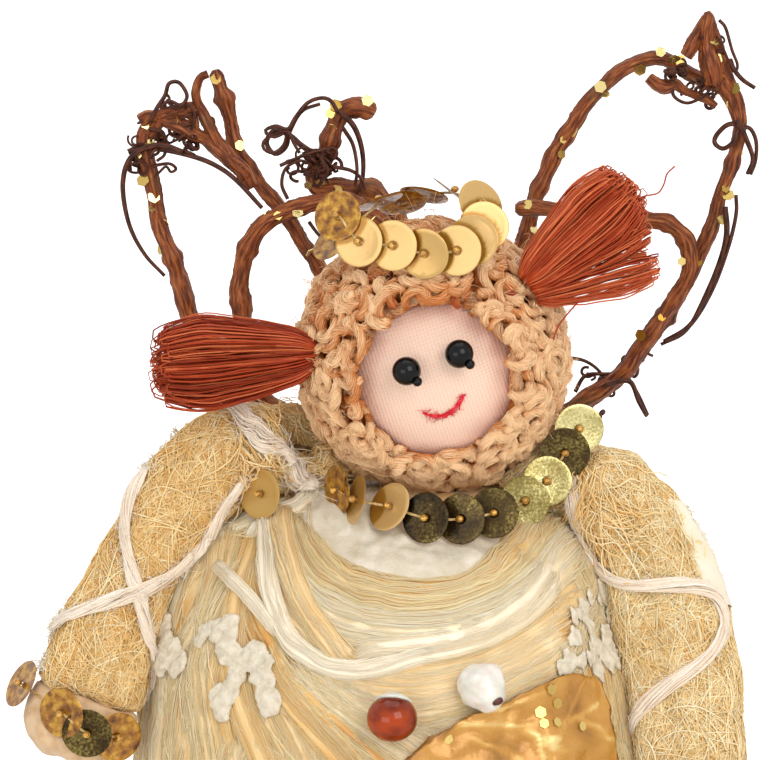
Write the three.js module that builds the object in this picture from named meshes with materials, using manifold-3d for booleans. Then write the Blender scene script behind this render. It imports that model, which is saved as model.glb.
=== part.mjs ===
// A free-standing angel figurine: a bell gown of sisal on a foam cone, a stuffed
// round head with curly hair, two hanks of red fibre for pigtails, a sequin crown
// and necklace, puffed sisal sleeves bound with yarn, and wings of thin vine.
// Lengths are in millimetres. +Z is up, the figure faces -Y, and the origin is
// the centre of the flat base disc that it stands on.
import * as THREE from "three";
import { mergeVertices } from "three/addons/utils/BufferGeometryUtils.js";
import Module from "manifold-3d";

const wasm = await Module();
wasm.setup();

const degree = Math.PI / 180;
const fullTurn = 2 * Math.PI;

// Clearance between neighbours, and how far a cutting shape runs past its cut
const gap = 0.3;
const overrun = 1.5;

// Base disc and foam cone
const baseDiscThickness = 2;
const baseDiscChamfer = 0.4;
const foamTopDrop = 0.4;

// Gown: its height and hem, and its outline up the height as shares of both:
// [height, radius at front and back, radius on the picture's left, on its right]
const gownHeight = 100;
const gownHemRadius = 40;
const gownWall = 1.4;
const gownHemLift = 0.4;
const gownFoldDepth = 1.3;
const gownFolds = 13;
const gownProfileShares = [
  [0, 1, 1, 1], [0.1, 0.985, 0.985, 0.985], [0.3, 0.91, 0.92, 0.9], [0.5, 0.82, 0.86, 0.79],
  [0.7, 0.72, 0.81, 0.69], [0.8, 0.65, 0.79, 0.62], [0.88, 0.56, 0.74, 0.55], [0.93, 0.45, 0.68, 0.5],
  [0.97, 0.31, 0.58, 0.43], [1, 0.17, 0.36, 0.26],
];

// Bodice wrap: a layer of floss over the top of the gown, with sagging folds
const wrapThickness = 1.5;
const wrapFoldDepth = 0.35;
const wrapFoldPitch = 4.6;
const wrapSag = 7;
const wrapLowShare = 0.52;

// Skewer that carries the head
const skewerRadius = 1.4;
const skewerDepthInCone = 36;
const skewerDepthInHead = 10;
const skewerPoint = 4;
const neckLength = 1.5;
const neckHoleRadius = 2.6;

// Head: a ball in a knitted cover, set aside of the cone's axis and rolled
const headBallRadius = 12;
const faceCoverWall = 0.7;
const headOffset = 1.8;
const headRoll = -18 * degree;

// Hair: a curly cap round the head with an opening for the face
const hairThickness = 4;
const hairLift = 1.4;
const hairCurlDepth = 0.7;
const hairCurls = 7;
const hairCurlSway = 3;
const faceOpeningRadius = 9.3;
const faceOpeningDrop = 0.4;

// Eyes on pins, and the stitched mouth
const eyeRadius = 1.7;
const eyeSpacing = 6.5;
const eyeRise = 2.8;
const eyeShankRadius = 0.35;
const eyeShankLength = 5;
const faceShift = 0.5;
const mouthWidth = 5.4;
const mouthDrop = 3.1;
const mouthSmile = 1.3;
const mouthThreadRadius = 0.3;

// Sequins, their seed beads, and the thread that strings them
const sequinRadius = 3;
const sequinThickness = 0.3;
const sequinPitch = 3.95;
const sequinTilt = 14 * degree;
const seedBeadRadius = 0.55;
const threadRadius = 0.32;

// Crown
const crownRadius = 8.8;
const crownStandOff = 1;
const crownShift = 2.9;
const crownForwardTilt = 11 * degree;
const crownFlare = 16 * degree;

// Necklace, with both ends under the hair:
// [turn in degrees, share of necklaceRadius, share of necklaceRise]
const necklaceRadius = 15.8;
const necklaceRise = 9.5;
const necklaceDrop = 0.4;
const necklaceShares = [
  [-80, 0.92, 0.86], [-60, 0.95, 0.66], [-39, 0.98, 0.4], [-14, 1, 0.13], [8, 1, 0], [24, 1, 0.01],
  [38, 1.02, 0.07], [52, 1.08, 0.24], [65, 1.17, 0.58], [80, 1.26, 0.96], [105, 1.28, 1.12],
  [130, 1.16, 1],
];

// Pigtails: each a hank of looped fibre behind a thread tie
const strandRadius = 0.36;
const strandGap = 0.62;
const strandRowCounts = [3, 4, 4, 4, 3];
const strandRunShares = [0.04, 0.3, 0.58, 0.86];
const pigtailLength = 20.5;
const pigtailSpreadShare = 2.05;
const pigtailRoundingShare = 0.2;
const pigtailForward = 27 * degree;
const pigtailRootRise = 23 * degree;
const pigtailAngle = 13 * degree;
const pigtailSweep = 5 * degree;
const tieWidth = 1.6;
const tieWall = 0.6;
const tieRoomShare = 3;

// Sleeves, from the shoulder to the wrist, which stands out from the body's side:
// [share of reach, share of the reach ahead, share of drop, share of girth]
const sleeveForwardShare = 0.225;
const sleeveFoldDepth = 0.35;
const sleeveFolds = 7;
const sleeveFlatShare = 0.8;
const leftWristOut = 7.8;
const leftDrop = 22;
const leftGirth = 6.5;
const leftSleeveShares = [
  [0.2, -0.1, 0.16, 0.66], [0.36, 0, 0.28, 0.72], [0.5, 0.1, 0.29, 0.8], [0.63, 0.25, 0.2, 0.88],
  [0.74, 0.45, 0, 0.8], [0.84, 0.67, -0.33, 0.74], [0.94, 0.88, -0.7, 0.9], [1, 1, -1, 1],
];
const rightWristOut = 3.4;
const rightDrop = 33;
const rightGirth = 7.1;
const rightSleeveShares = [
  [0.2, -0.1, 0.07, 0.62], [0.4, 0, 0.12, 0.68], [0.56, 0.1, 0.09, 0.74], [0.72, 0.25, 0.02, 0.82],
  [0.84, 0.55, -0.145, 0.9], [0.93, 0.85, -0.357, 1], [0.98, 1.2, -0.577, 0.98], [1, 1.55, -0.77, 0.94],
  [1.01, 1.85, -1, 0.9],
];

// Arm wire, cuffs and the sequins sewn to them
const armWireRadius = 0.5;
const wireStationShares = [0.14, 0.3, 0.5, 0.7, 0.86, 1];
const cuffLength = 8;
const cuffFlareShare = 1.04;
const cuffOutlineShares = [[0, 0.97], [0.25, 1], [0.6, 1], [0.85, 0.88], [0.97, 0.62], [1, 0.3]];
const cuffStrandShare = 0.3;
const cuffStrandStartShare = -0.3;
const cuffSequinCount = 4;

// Yarn: on a sleeve [share along, turn in degrees, yarns below it],
// and on the bodice [share of gownHemRadius across, share of gownHeight]
const yarnRadius = 0.75;
const collarYarnShares = [[0.06, -30, 0], [0.1, 5, 0], [0.16, 40, 0], [0.22, 70, 0], [0.28, 100, 0]];
const leftDownYarnShares = [
  [0.36, -64, 0], [0.46, -50, 0], [0.56, -30, 0], [0.66, -8, 0], [0.78, 14, 0], [0.9, 32, 0], [0.97, 40, 0],
];
const leftAcrossYarnShares = [
  [0.34, 80, 0], [0.42, 70, 0], [0.5, 52, 0.1], [0.57, 20, 0.7], [0.62, -8, 1.05], [0.67, -26, 1.05],
  [0.73, -44, 0.5], [0.82, -64, 0], [0.9, -84, 0],
];
const rightYarnShares = [
  [0.24, 40, 0], [0.34, 50, 0], [0.46, 62, 0], [0.55, 50, 0], [0.6, 20, 0], [0.63, -20, 0],
  [0.67, -62, 0], [0.74, -58, 0], [0.8, -30, 0], [0.86, 5, 0], [0.93, 35, 0], [0.99, 52, 0],
];
const bodiceYarnShares = [
  [-0.615, 0.945], [-0.54, 0.91], [-0.405, 0.869], [-0.27, 0.825], [-0.2, 0.808],
];

// Loose sequin, sewn to the front of the left shoulder
const looseSequinAlongShare = 0.25;
const looseSequinTurn = -35 * degree;

// Wings of bent vine, bound behind the back at the hub
const rightWingReach = 40;
const leftWingReach = 34.2;
const wingRise = 61.4;
const wingHubHeight = 94.2;
const vineRadius = 1.1;
const vineTail = 3.5;
const tendrilRadius = 0.32;
const padWidth = 15;
const padHeight = 13;
const padDepth = 12;

// Each vine, from above the hub to its tip: [share of reach, share of wingRise]
const rightOuterShares = [
  [0.12, 0.06], [0.3, 0.13], [0.51, 0.205], [0.6, 0.246], [0.68, 0.3], [0.757, 0.375], [0.817, 0.44],
  [0.872, 0.51], [0.93, 0.607], [0.977, 0.692], [1, 0.759], [0.992, 0.813], [0.955, 0.87],
  [0.922, 0.94], [0.89, 1],
];
const rightInnerShares = [
  [0.08, 0.1], [0.2, 0.3], [0.325, 0.528], [0.35, 0.578], [0.395, 0.658], [0.45, 0.739], [0.523, 0.805],
  [0.598, 0.86], [0.675, 0.889], [0.76, 0.899], [0.843, 0.873], [0.925, 0.837],
];
const rightLoopShares = [
  [0.11, 0.06], [0.3, 0.135], [0.5, 0.21], [0.61, 0.262], [0.695, 0.33], [0.757, 0.389], [0.815, 0.446],
  [0.838, 0.503], [0.825, 0.547], [0.775, 0.58], [0.69, 0.586], [0.525, 0.604], [0.385, 0.611], [0.3, 0.607],
];
const leftOuterShares = [
  [0.12, 0.06], [0.32, 0.13], [0.567, 0.212], [0.664, 0.262], [0.772, 0.324], [0.842, 0.389],
  [0.904, 0.497], [0.956, 0.598], [0.98, 0.668], [1, 0.728], [0.97, 0.774], [0.874, 0.8], [0.784, 0.805],
];
const leftInnerShares = [
  [0.16, 0.1], [0.27, 0.3], [0.357, 0.4625], [0.427, 0.531], [0.515, 0.604], [0.6, 0.6645],
  [0.67, 0.718], [0.69, 0.7785], [0.725, 0.839], [0.743, 0.878],
];
const leftLoopShares = [
  [0.12, 0.07], [0.32, 0.14], [0.567, 0.218], [0.626, 0.305], [0.652, 0.4055], [0.652, 0.466],
  [0.629, 0.528], [0.564, 0.58], [0.462, 0.6075], [0.348, 0.622], [0.231, 0.617], [0.105, 0.57],
];
const leftStubShares = [
  [0.05, 0.12], [0.02, 0.3], [0.04, 0.5], [0.14, 0.6287], [0.266, 0.6466], [0.3626, 0.65],
  [0.385, 0.679], [0.342, 0.718], [0.316, 0.769], [0.275, 0.813], [0.21, 0.8225], [0.161, 0.805],
];

// Each tendril, curling ahead of its layer: [share of reach, share of wingRise, share of vineRadius]
const leftHookShares = [
  [0.86, 0.72, 0], [0.95, 0.735, 0], [1.045, 0.713, 0], [1.08, 0.658, 0], [1.06, 0.578, 0],
  [1.005, 0.516, 0], [0.93, 0.47, 0],
];
const leftCurlShares = [
  [0.348, 0.699, 0], [0.427, 0.728, 0], [0.471, 0.749, 0.1], [0.526, 0.76, 0.3], [0.556, 0.736, 0.5],
  [0.526, 0.713, 0.7], [0.485, 0.728, 0.85], [0.47, 0.76, 1], [0.427, 0.8, 1], [0.36, 0.815, 1],
];
const leftBowShares = [
  [0.295, 0.8, 0], [0.235, 0.765, 0], [0.205, 0.71, 0], [0.21, 0.65, 0.1], [0.255, 0.615, 0.2],
];
const rightHookShares = [[0.985, 0.785, 0], [1.012, 0.75, 0], [1.035, 0.708, 0], [1.018, 0.676, 0]];
const rightBowShares = [
  [0.95, 0.61, 0], [0.957, 0.56, 0], [0.942, 0.51, 0], [0.9, 0.44, 0], [0.835, 0.36, 0], [0.755, 0.33, 0],
];
const rightFootShares = [[0.58, 0.255, 0], [0.655, 0.262, 0], [0.685, 0.22, 0], [0.71, 0.19, 0]];

// Leaf of gold foil, bent round the gown. Its middle is at shares of gownHemRadius across
// and of gownHeight up, and its outline is [share of length from the stem, share of width].
const leafLength = 40;
const leafWidth = 26;
const leafThickness = 0.5;
const leafPlaceShares = [0.2525, 0.66];
const leafLean = 31 * degree;
const leafWidthShares = [
  [0, 0.04], [0.1, 0.22], [0.2, 0.38], [0.35, 0.5], [0.5, 0.49], [0.7, 0.35], [0.9, 0.175], [0.95, 0.125],
  [1, 0.04],
];

// Beads, berry and cotton tufts on the bodice, each placed at shares of gownHemRadius
// across and of gownHeight up
const amberRadius = 2.9;
const amberPlaceShares = [-0.085, 0.795];
const berryRadius = 2.8;
const berryPlaceShares = [0.18, 0.833];
const lumpDepthShare = 0.16;
const lumpStandShare = 0.7;
const lumpWaves = [5, 6, 5];
const tuftRadius = 2.4;
const leftTuftPlaceShares = [-0.7125, 0.865];
const middleTuftPlaceShares = [-0.535, 0.84];
const rightTuftPlaceShares = [0.515, 0.885];

// Facets and steps
const ringSides = 24;
const holeSides = 12;
const ballSides = 12;
const ballBands = 9;
const smallBallSides = 8;
const smallBallBands = 6;
const tubeSides = 6;
const wireSides = 5;
const threadSides = 3;
const strandSides = 4;
const sequinSides = 8;
const coneSteps = 6;
const gownSteps = 6;
const wrapSteps = 15;
const hairBands = 11;
const hairSides = 21;
const sleeveSteps = 16;
const sleeveSides = 14;
const leafSteps = 12;
const profileSteps = 60;
const strandSamples = 900;
const placingPasses = 8;

// Materials, with colours as the eye sees them
const paint = (color, roughness, metalness = 0) =>
  new THREE.MeshStandardMaterial({ color, roughness, metalness });
const material = {
  card: paint(0xc9b08a, 0.9),
  foam: paint(0xf2f0ea, 0.9),
  bamboo: paint(0xd9b980, 0.7),
  sisal: paint(0xe6cf9c, 0.85),
  floss: paint(0xf3e7c6, 0.45),
  jersey: paint(0xf3cdb8, 0.9),
  hair: paint(0xdba27c, 0.7),
  eye: paint(0x101012, 0.15),
  mouth: paint(0xd8283a, 0.8),
  fibre: paint(0xa4452f, 0.6),
  gold: paint(0xd9bd6a, 0.3, 0.9),
  vine: paint(0x7d4526, 0.65),
  tendril: paint(0x3c2620, 0.6),
  yarn: paint(0xf2e2d2, 0.9),
  wire: paint(0x9a8f80, 0.4, 0.8),
  glue: paint(0xe9dfc8, 0.4),
  leaf: paint(0xd9a24a, 0.35, 0.7),
  amber: paint(0x9a3a10, 0.15),
  white: paint(0xf4f1ea, 0.85),
};

// Mesh and solid helpers

// Joins rings of equal point counts into one closed body, with a fan at each end
// unless the last ring leads back to the first.
function loft(rings, closed = false) {
  const sides = rings[0].length;
  const points = rings.flat();
  const faces = [];
  const bands = closed ? rings.length : rings.length - 1;
  for (let i = 0; i < bands; i++) {
    const next = ((i + 1) % rings.length) * sides;
    for (let j = 0; j < sides; j++) {
      const k = (j + 1) % sides;
      faces.push([i * sides + j, i * sides + k, next + k], [i * sides + j, next + k, next + j]);
    }
  }
  if (!closed) {
    [rings[0], rings.at(-1)].forEach((ring, end) => {
      const middle = points.length;
      const first = end * (rings.length - 1) * sides;
      points.push(ring.reduce((sum, p) => sum.add(p), new THREE.Vector3()).divideScalar(sides));
      for (let j = 0; j < sides; j++) {
        const [a, b] = [first + j, first + ((j + 1) % sides)];
        faces.push(end ? [a, b, middle] : [b, a, middle]);
      }
    });
  }
  return facingOut(points, faces);
}

// Turns the faces round where the rings ran the other way.
function facingOut(points, faces) {
  const cross = new THREE.Vector3();
  const volume = faces.reduce((sum, [a, b, c]) =>
    sum + points[a].dot(cross.crossVectors(points[b], points[c])), 0);
  const geometry = new THREE.BufferGeometry().setFromPoints(points);
  geometry.setIndex(volume < 0 ? faces.map(([a, b, c]) => [a, c, b]).flat() : faces.flat());
  return geometry;
}

function circle(centre, across, up, wide, high, sides) {
  return Array.from({ length: sides }, (_, j) => {
    const angle = (j / sides) * fullTurn;
    return centre.clone()
      .addScaledVector(across, Math.cos(angle) * wide)
      .addScaledVector(up, Math.sin(angle) * high);
  });
}

const openCurve = (points) => new THREE.CatmullRomCurve3(points, false, "centripetal");

// A capped tube of one radius along points.
function tube(points, radius, steps, sides = tubeSides) {
  const outline = Array.from({ length: sides }, (_, j) =>
    new THREE.Vector2(radius, 0).rotateAround(new THREE.Vector2(), (j / sides) * fullTurn));
  const options = { steps, extrudePath: openCurve(points), bevelEnabled: false };
  return new THREE.ExtrudeGeometry(new THREE.Shape(outline), options);
}

// A tube round a closed curve.
function hoop(curve, radius, steps, sides) {
  const frames = curve.computeFrenetFrames(steps, true);
  return loft(Array.from({ length: steps }, (_, i) =>
    circle(curve.getPointAt(i / steps), frames.normals[i], frames.binormals[i], radius, radius, sides)), true);
}

// A body turned about +Z from rows of [radius, height].
const lathe = (rows, sides) =>
  new THREE.LatheGeometry(rows.map(([r, z]) => new THREE.Vector2(r, z)), sides).rotateX(90 * degree);

const ball = (radius, sides = ballSides, bands = ballBands) =>
  new THREE.SphereGeometry(radius, sides, bands).rotateX(90 * degree);
const smallBall = (radius) => ball(radius, smallBallSides, smallBallBands);

function solidOf(geometry) {
  const bare = geometry.clone();
  bare.deleteAttribute("normal");
  bare.deleteAttribute("uv");
  const merged = mergeVertices(bare);
  const mesh = new wasm.Mesh({
    numProp: 3,
    vertProperties: merged.attributes.position.array,
    triVerts: new Uint32Array(merged.index.array),
  });
  mesh.merge();
  return new wasm.Manifold(mesh);
}

function geometryOf(solid) {
  const mesh = solid.getMesh();
  return new THREE.BufferGeometry()
    .setAttribute("position", new THREE.BufferAttribute(mesh.vertProperties, 3))
    .setIndex(new THREE.BufferAttribute(mesh.triVerts, 1));
}

// Cuts tools out of a piece, and drops any crumb that the cuts leave loose.
function cut(piece, ...tools) {
  const left = tools.reduce((solid, tool) => solid.subtract(solidOf(tool)), solidOf(piece));
  return geometryOf(left.decompose().sort((a, b) => b.volume() - a.volume())[0]);
}

const join = (...pieces) =>
  geometryOf(pieces.map(solidOf).reduce((whole, piece) => whole.add(piece)));

function meshOf(name, geometry, look) {
  const mesh = new THREE.Mesh(geometry, look);
  mesh.name = name;
  return mesh;
}

// Linear reading of a table whose rows are [position, value, value ...].
function readTable(table, position) {
  const clamped = Math.min(Math.max(position, table[0][0]), table.at(-1)[0]);
  const row = Math.max(1, table.findIndex((r) => r[0] >= clamped));
  const [low, high] = [table[row - 1], table[row]];
  const share = (clamped - low[0]) / (high[0] - low[0]);
  return low.slice(1).map((value, k) => value + (high[k + 1] - value) * share);
}

const easeIn = (share) => share * share * (3 - 2 * share);

// Gown, cone, disc, bodice wrap and skewer

// Smooth tables of [height, radius] for the front, the left and the right.
const [frontProfile, leftProfile, rightProfile] = [1, 2, 3].map((column) =>
  new THREE.SplineCurve(gownProfileShares.map((row) =>
    new THREE.Vector2(row[0] * gownHeight, row[column] * gownHemRadius)))
    .getPoints(profileSteps).map((p) => [p.x, p.y]));

const wrapLow = gownHeight * wrapLowShare;
const wrapTop = gownHeight + gap + wrapThickness;
const coneLow = baseDiscThickness + gap;
const coneTop = gownHeight - gownWall - gap - foamTopDrop;

// Turn zero faces the viewer, and a quarter turn is on the picture's right.
const onTurn = (turn, radius, z) =>
  new THREE.Vector3(Math.sin(turn) * radius, -Math.cos(turn) * radius, z);

// The gown's section is a round of four quarter ellipses.
function gownRadiusAt(turn, z) {
  const [front] = readTable(frontProfile, z);
  const [side] = readTable(Math.sin(turn) < 0 ? leftProfile : rightProfile, z);
  return (front * side) / Math.hypot(side * Math.cos(turn), front * Math.sin(turn));
}

const foldDepthAt = (z) => gownFoldDepth * easeIn(1 - Math.min(z / wrapLow, 1));
const gownOuterAt = (turn, z) => gownRadiusAt(turn, z) + foldDepthAt(z) * Math.cos(gownFolds * turn);

// The cone is round, and fits the gown where the gown is narrowest.
const coneRadiusAt = (z) => Math.min(...[frontProfile, leftProfile, rightProfile].map((profile) =>
  readTable(profile, z)[0])) - gownWall - gap - foldDepthAt(z);

// The floss rounds over at both ends and sags in shallow arcs across the chest.
function wrapOuterAt(turn, z) {
  const edge = Math.min(1, (z - wrapLow) / wrapThickness, (wrapTop - z) / wrapThickness);
  const rounding = Math.sqrt(Math.max(0, edge * (2 - edge)));
  const arc = z - wrapSag * Math.cos(turn);
  const fold = wrapFoldDepth * Math.sin((fullTurn * arc) / wrapFoldPitch);
  return gownRadiusAt(turn, z - gap) + gap + (wrapThickness + fold) * rounding;
}

// A point of the front that lies a given way across, on a surface around the body.
function onFront(surfaceAt, across, z) {
  let turn = 0;
  for (let pass = 0; pass < placingPasses; pass++) {
    turn = Math.asin(THREE.MathUtils.clamp(across / surfaceAt(turn, z), -1, 1));
  }
  return onTurn(turn, surfaceAt(turn, z), z);
}

// A body round +Z with its radius given at each turn and height. Grown by a gap, it
// is the space that whatever lies against the body leaves free.
function turned(radiusAt, low, high, steps, sides, growth) {
  return loft(Array.from({ length: steps + 1 }, (_, i) => {
    const share = i / steps;
    const z = low + (high - low) * share;
    return Array.from({ length: sides }, (__, j) => {
      const turn = (j / sides) * fullTurn;
      return onTurn(turn, radiusAt(turn, z) + growth, z + (2 * share - 1) * growth);
    });
  }));
}
const coneShape = (growth) =>
  turned((turn, z) => coneRadiusAt(z), coneLow, coneTop, coneSteps, ringSides, growth);
const gownShape = (growth) =>
  turned(gownOuterAt, gownHemLift, gownHeight, gownSteps, gownFolds * 4, growth);
const wrapShape = (growth) => turned(wrapOuterAt, wrapLow, wrapTop, wrapSteps, ringSides, growth);

const headHeight = wrapTop + neckLength + faceCoverWall + gap + headBallRadius;
const skewerFoot = coneTop - skewerDepthInCone;

// The skewer leans from the cone's axis to the head's centre.
const skewerPose = new THREE.Matrix4()
  .makeTranslation(0, 0, skewerFoot)
  .multiply(new THREE.Matrix4().makeRotationY(Math.atan2(headOffset, headHeight - skewerFoot)));
const skewerLength = Math.hypot(headOffset, headHeight - skewerFoot) + skewerDepthInHead;

const skewerRoom = (radius) =>
  lathe([[0, -gap], [radius, -gap], [radius, skewerLength + gap], [0, skewerLength + gap]], holeSides)
    .applyMatrix4(skewerPose);

const baseDisc = () => {
  const radius = coneRadiusAt(baseDiscThickness);
  return lathe([[0, 0], [radius - baseDiscChamfer, 0], [radius, baseDiscChamfer],
    [radius, baseDiscThickness], [0, baseDiscThickness]], ringSides);
};

const foamCone = () => cut(coneShape(0), skewerRoom(skewerRadius + gap));

const neckSkewer = () =>
  lathe([[0, 0], [skewerRadius, skewerPoint], [skewerRadius, skewerLength], [0, skewerLength]], holeSides)
    .applyMatrix4(skewerPose);

// The gown is a shell over the cone, open at the hem and closed at the top round the skewer.
function gown() {
  const radius = coneRadiusAt(baseDiscThickness) + gap;
  const hemOpening = lathe(
    [[0, -overrun], [radius, -overrun], [radius, coneLow + overrun], [0, coneLow + overrun]], ringSides);
  return cut(gownShape(0), coneShape(gap), hemOpening, skewerRoom(neckHoleRadius));
}

const bodiceWrap = () => cut(wrapShape(0), gownShape(gap), skewerRoom(neckHoleRadius), necklaceRoom());

// Head, hair, eyes and mouth, in the head's own frame with the ball's centre at its origin

const coverRadius = headBallRadius + gap + faceCoverWall;
const hairRadius = coverRadius + hairThickness;
const headPose = new THREE.Matrix4()
  .makeTranslation(headOffset, 0, headHeight)
  .multiply(new THREE.Matrix4().makeRotationY(headRoll));
const intoHead = headPose.clone().invert();

// The depth of the cover's front surface at a place on the face, moved out by an offset.
const faceFrontAt = (x, z, offset) => -Math.sqrt((coverRadius + offset) ** 2 - x * x - z * z);

// An eye is a bead on a pin that runs straight back into the head.
const eyePlaces = [-1, 1].map((side) => {
  const x = faceShift + (side * eyeSpacing) / 2;
  return new THREE.Vector3(x, faceFrontAt(x, eyeRise, gap + eyeRadius), eyeRise);
});

function eyeShank(place, growth) {
  const radius = eyeShankRadius + growth;
  const length = eyeRadius + eyeShankLength + growth;
  return new THREE.CylinderGeometry(radius, radius, length, tubeSides)
    .translate(place.x, place.y + length / 2, place.z);
}

const eye = (place) =>
  join(smallBall(eyeRadius).translate(...place), eyeShank(place, 0));

const eyeHoles = () => eyePlaces.map((place) => eyeShank(place, gap));
const headHole = (radius) => skewerRoom(radius).applyMatrix4(intoHead);
const headBall = () => cut(ball(headBallRadius), headHole(skewerRadius + gap), ...eyeHoles());

const faceCover = () =>
  cut(ball(coverRadius), ball(headBallRadius + gap), headHole(neckHoleRadius), ...eyeHoles());

function mouthStitch() {
  const lift = gap + mouthThreadRadius;
  const bends = 6;
  const points = Array.from({ length: bends + 1 }, (_, i) => {
    const side = (2 * i) / bends - 1;
    const x = faceShift + (side * mouthWidth) / 2;
    const z = mouthSmile * (side * side - 1 / 2) - mouthDrop;
    return new THREE.Vector3(x, faceFrontAt(x, z, lift), z);
  });
  return tube(points, mouthThreadRadius, 8, wireSides);
}

// Curls swell and dip in two crossed waves over a round cap.
function hairShape(growth) {
  return loft(Array.from({ length: hairBands - 1 }, (_, i) => {
    const tilt = ((i + 1) / hairBands) * Math.PI;
    return Array.from({ length: hairSides }, (__, j) => {
      const turn = (j / hairSides) * fullTurn;
      const sway = hairCurlSway * Math.sin(2 * turn);
      const curl = Math.sin(hairCurls * tilt + sway) * Math.cos(hairCurls * turn);
      const radius = hairRadius + growth + hairCurlDepth * curl * Math.sin(tilt);
      return onTurn(turn, radius * Math.sin(tilt), hairLift + radius * Math.cos(tilt));
    });
  }));
}

function hair() {
  const deep = hairRadius + overrun;
  const faceOpening = new THREE.CylinderGeometry(faceOpeningRadius, faceOpeningRadius, deep, ringSides)
    .translate(0, -deep / 2, -faceOpeningDrop);
  return cut(hairShape(0), ball(coverRadius + gap), faceOpening, crownSeat(),
    pigtailSeat(-1), pigtailSeat(1), headHole(neckHoleRadius),
    ...[wrapShape(gap), armWire(gap)].map((room) => room.applyMatrix4(intoHead)));
}

// The space of the whole head with a gap round it, in the figure's frame.
const headRoom = () => hairShape(gap).applyMatrix4(headPose);

// Sequins on their thread

// A sequin with its bead in front, facing the given way.
function sequin(place, towards) {
  const turnTo = new THREE.Quaternion().setFromUnitVectors(new THREE.Vector3(0, 1, 0), towards);
  const disc = new THREE.CylinderGeometry(sequinRadius, sequinRadius, sequinThickness, sequinSides);
  const bead = new THREE.OctahedronGeometry(seedBeadRadius).translate(0, seedBeadRadius, 0);
  return [disc, bead].map((shape) => shape.applyQuaternion(turnTo).translate(...place));
}

// Sequins at equal steps along a curve, each tilted over the next. faceAt gives the
// way that a sequin faces at a point.
function sequinStrand(curve, count, faceAt, closed) {
  const stops = Array.from({ length: count }, (_, i) => (closed ? i : i + 0.5) / count);
  const sequins = stops.flatMap((share) => {
    const place = curve.getPointAt(share);
    const along = curve.getTangentAt(share);
    const face = faceAt(place).projectOnPlane(along).normalize();
    return sequin(place, face.addScaledVector(along, Math.tan(sequinTilt)).normalize());
  });
  const thread = closed
    ? hoop(curve, threadRadius, count, threadSides)
    : tube(curve.points, threadRadius, count, threadSides);
  return join(thread, ...sequins);
}

// The crown has its own flat frame, which is tilted and set on top of the hair.
const crownRise = hairLift + Math.sqrt(hairRadius ** 2 - crownRadius ** 2) + crownStandOff;
const crownPose = new THREE.Matrix4()
  .makeTranslation(crownShift, 0, crownRise)
  .multiply(new THREE.Matrix4().makeRotationY(-headRoll))
  .multiply(new THREE.Matrix4().makeRotationX(crownForwardTilt));

function crown() {
  const count = Math.round((fullTurn * crownRadius) / sequinPitch);
  const curve = new THREE.CatmullRomCurve3(
    Array.from({ length: count }, (_, i) => onTurn((i / count) * fullTurn, crownRadius, 0)), true);
  const faceAt = (place) => place.clone().setZ(crownRadius * Math.tan(crownFlare));
  return sequinStrand(curve, count, faceAt, true);
}

// A groove pressed in the curls, clear of every sequin of the crown.
function crownSeat() {
  const reach = sequinRadius + gap;
  const inner = crownRadius - reach * Math.sin(crownFlare) - sequinThickness - gap;
  const outer = Math.hypot(crownRadius + reach * Math.sin(crownFlare), reach) + seedBeadRadius + gap;
  const rows = [[inner, -reach], [outer, -reach], [outer, hairRadius], [inner, hairRadius], [inner, -reach]];
  return lathe(rows, holeSides).applyMatrix4(crownPose);
}

const necklaceLevel = gownHeight - necklaceDrop;
const necklaceCurve = openCurve(necklaceShares.map(([turn, out, up]) =>
  onTurn(turn * degree, out * necklaceRadius, necklaceLevel + up * necklaceRise)));

function necklace() {
  const count = Math.round(necklaceCurve.getLength() / sequinPitch);
  return sequinStrand(necklaceCurve, count, (place) => place.clone().setZ(0), false);
}

// The soft pieces under the necklace are pressed in round it, past its last sequins.
function necklaceRoom() {
  const reach = sequinRadius + gap;
  const [start, end] = [0, 1].map((share) => necklaceCurve.getPointAt(share)
    .addScaledVector(necklaceCurve.getTangentAt(share), share ? reach : -reach));
  return tube([start, ...necklaceCurve.points, end], reach / Math.cos(Math.PI / tubeSides), 22);
}

// Pigtails, each in a frame with its length along +X from where it starts at the head

const strandPitch = 2 * strandRadius + strandGap;

// Where the fibre crosses the hank, as [across, up] in pitches, row by row and back.
const strandPlaces = strandRowCounts.flatMap((count, row) => {
  const up = row - (strandRowCounts.length - 1) / 2;
  const line = Array.from({ length: count }, (_, k) => [k - (count - 1) / 2, up]);
  return row % 2 ? line.reverse() : line;
});
const widestPlace = Math.max(...strandPlaces.map(([across, up]) => Math.hypot(across, up)));

// One unbroken fibre runs out and back through every place in turn.
function pigtailPath() {
  const at = ([across, up], share) => {
    const pitch = strandPitch * (1 + (pigtailSpreadShare - 1) * easeIn(share));
    return new THREE.Vector3(0, across * pitch, up * pitch);
  };
  const reachOf = ([across, up]) =>
    pigtailLength * (1 - pigtailRoundingShare * (Math.hypot(across, up) / widestPlace) ** 2);
  return strandPlaces.flatMap((place, i) => {
    const run = strandRunShares.map((share) => at(place, share).setX(share * reachOf(place)));
    if (i % 2) run.reverse();
    const next = strandPlaces[i + 1];
    if (!next) return run;
    const far = i % 2 ? 0 : 1;
    const [from, to] = [at(place, far), at(next, far)];
    const bend = far ? (reachOf(place) + reachOf(next)) / 2 : -from.distanceTo(to) / 2;
    return [...run, from.lerp(to, 1 / 2).setX(bend)];
  });
}

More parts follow.
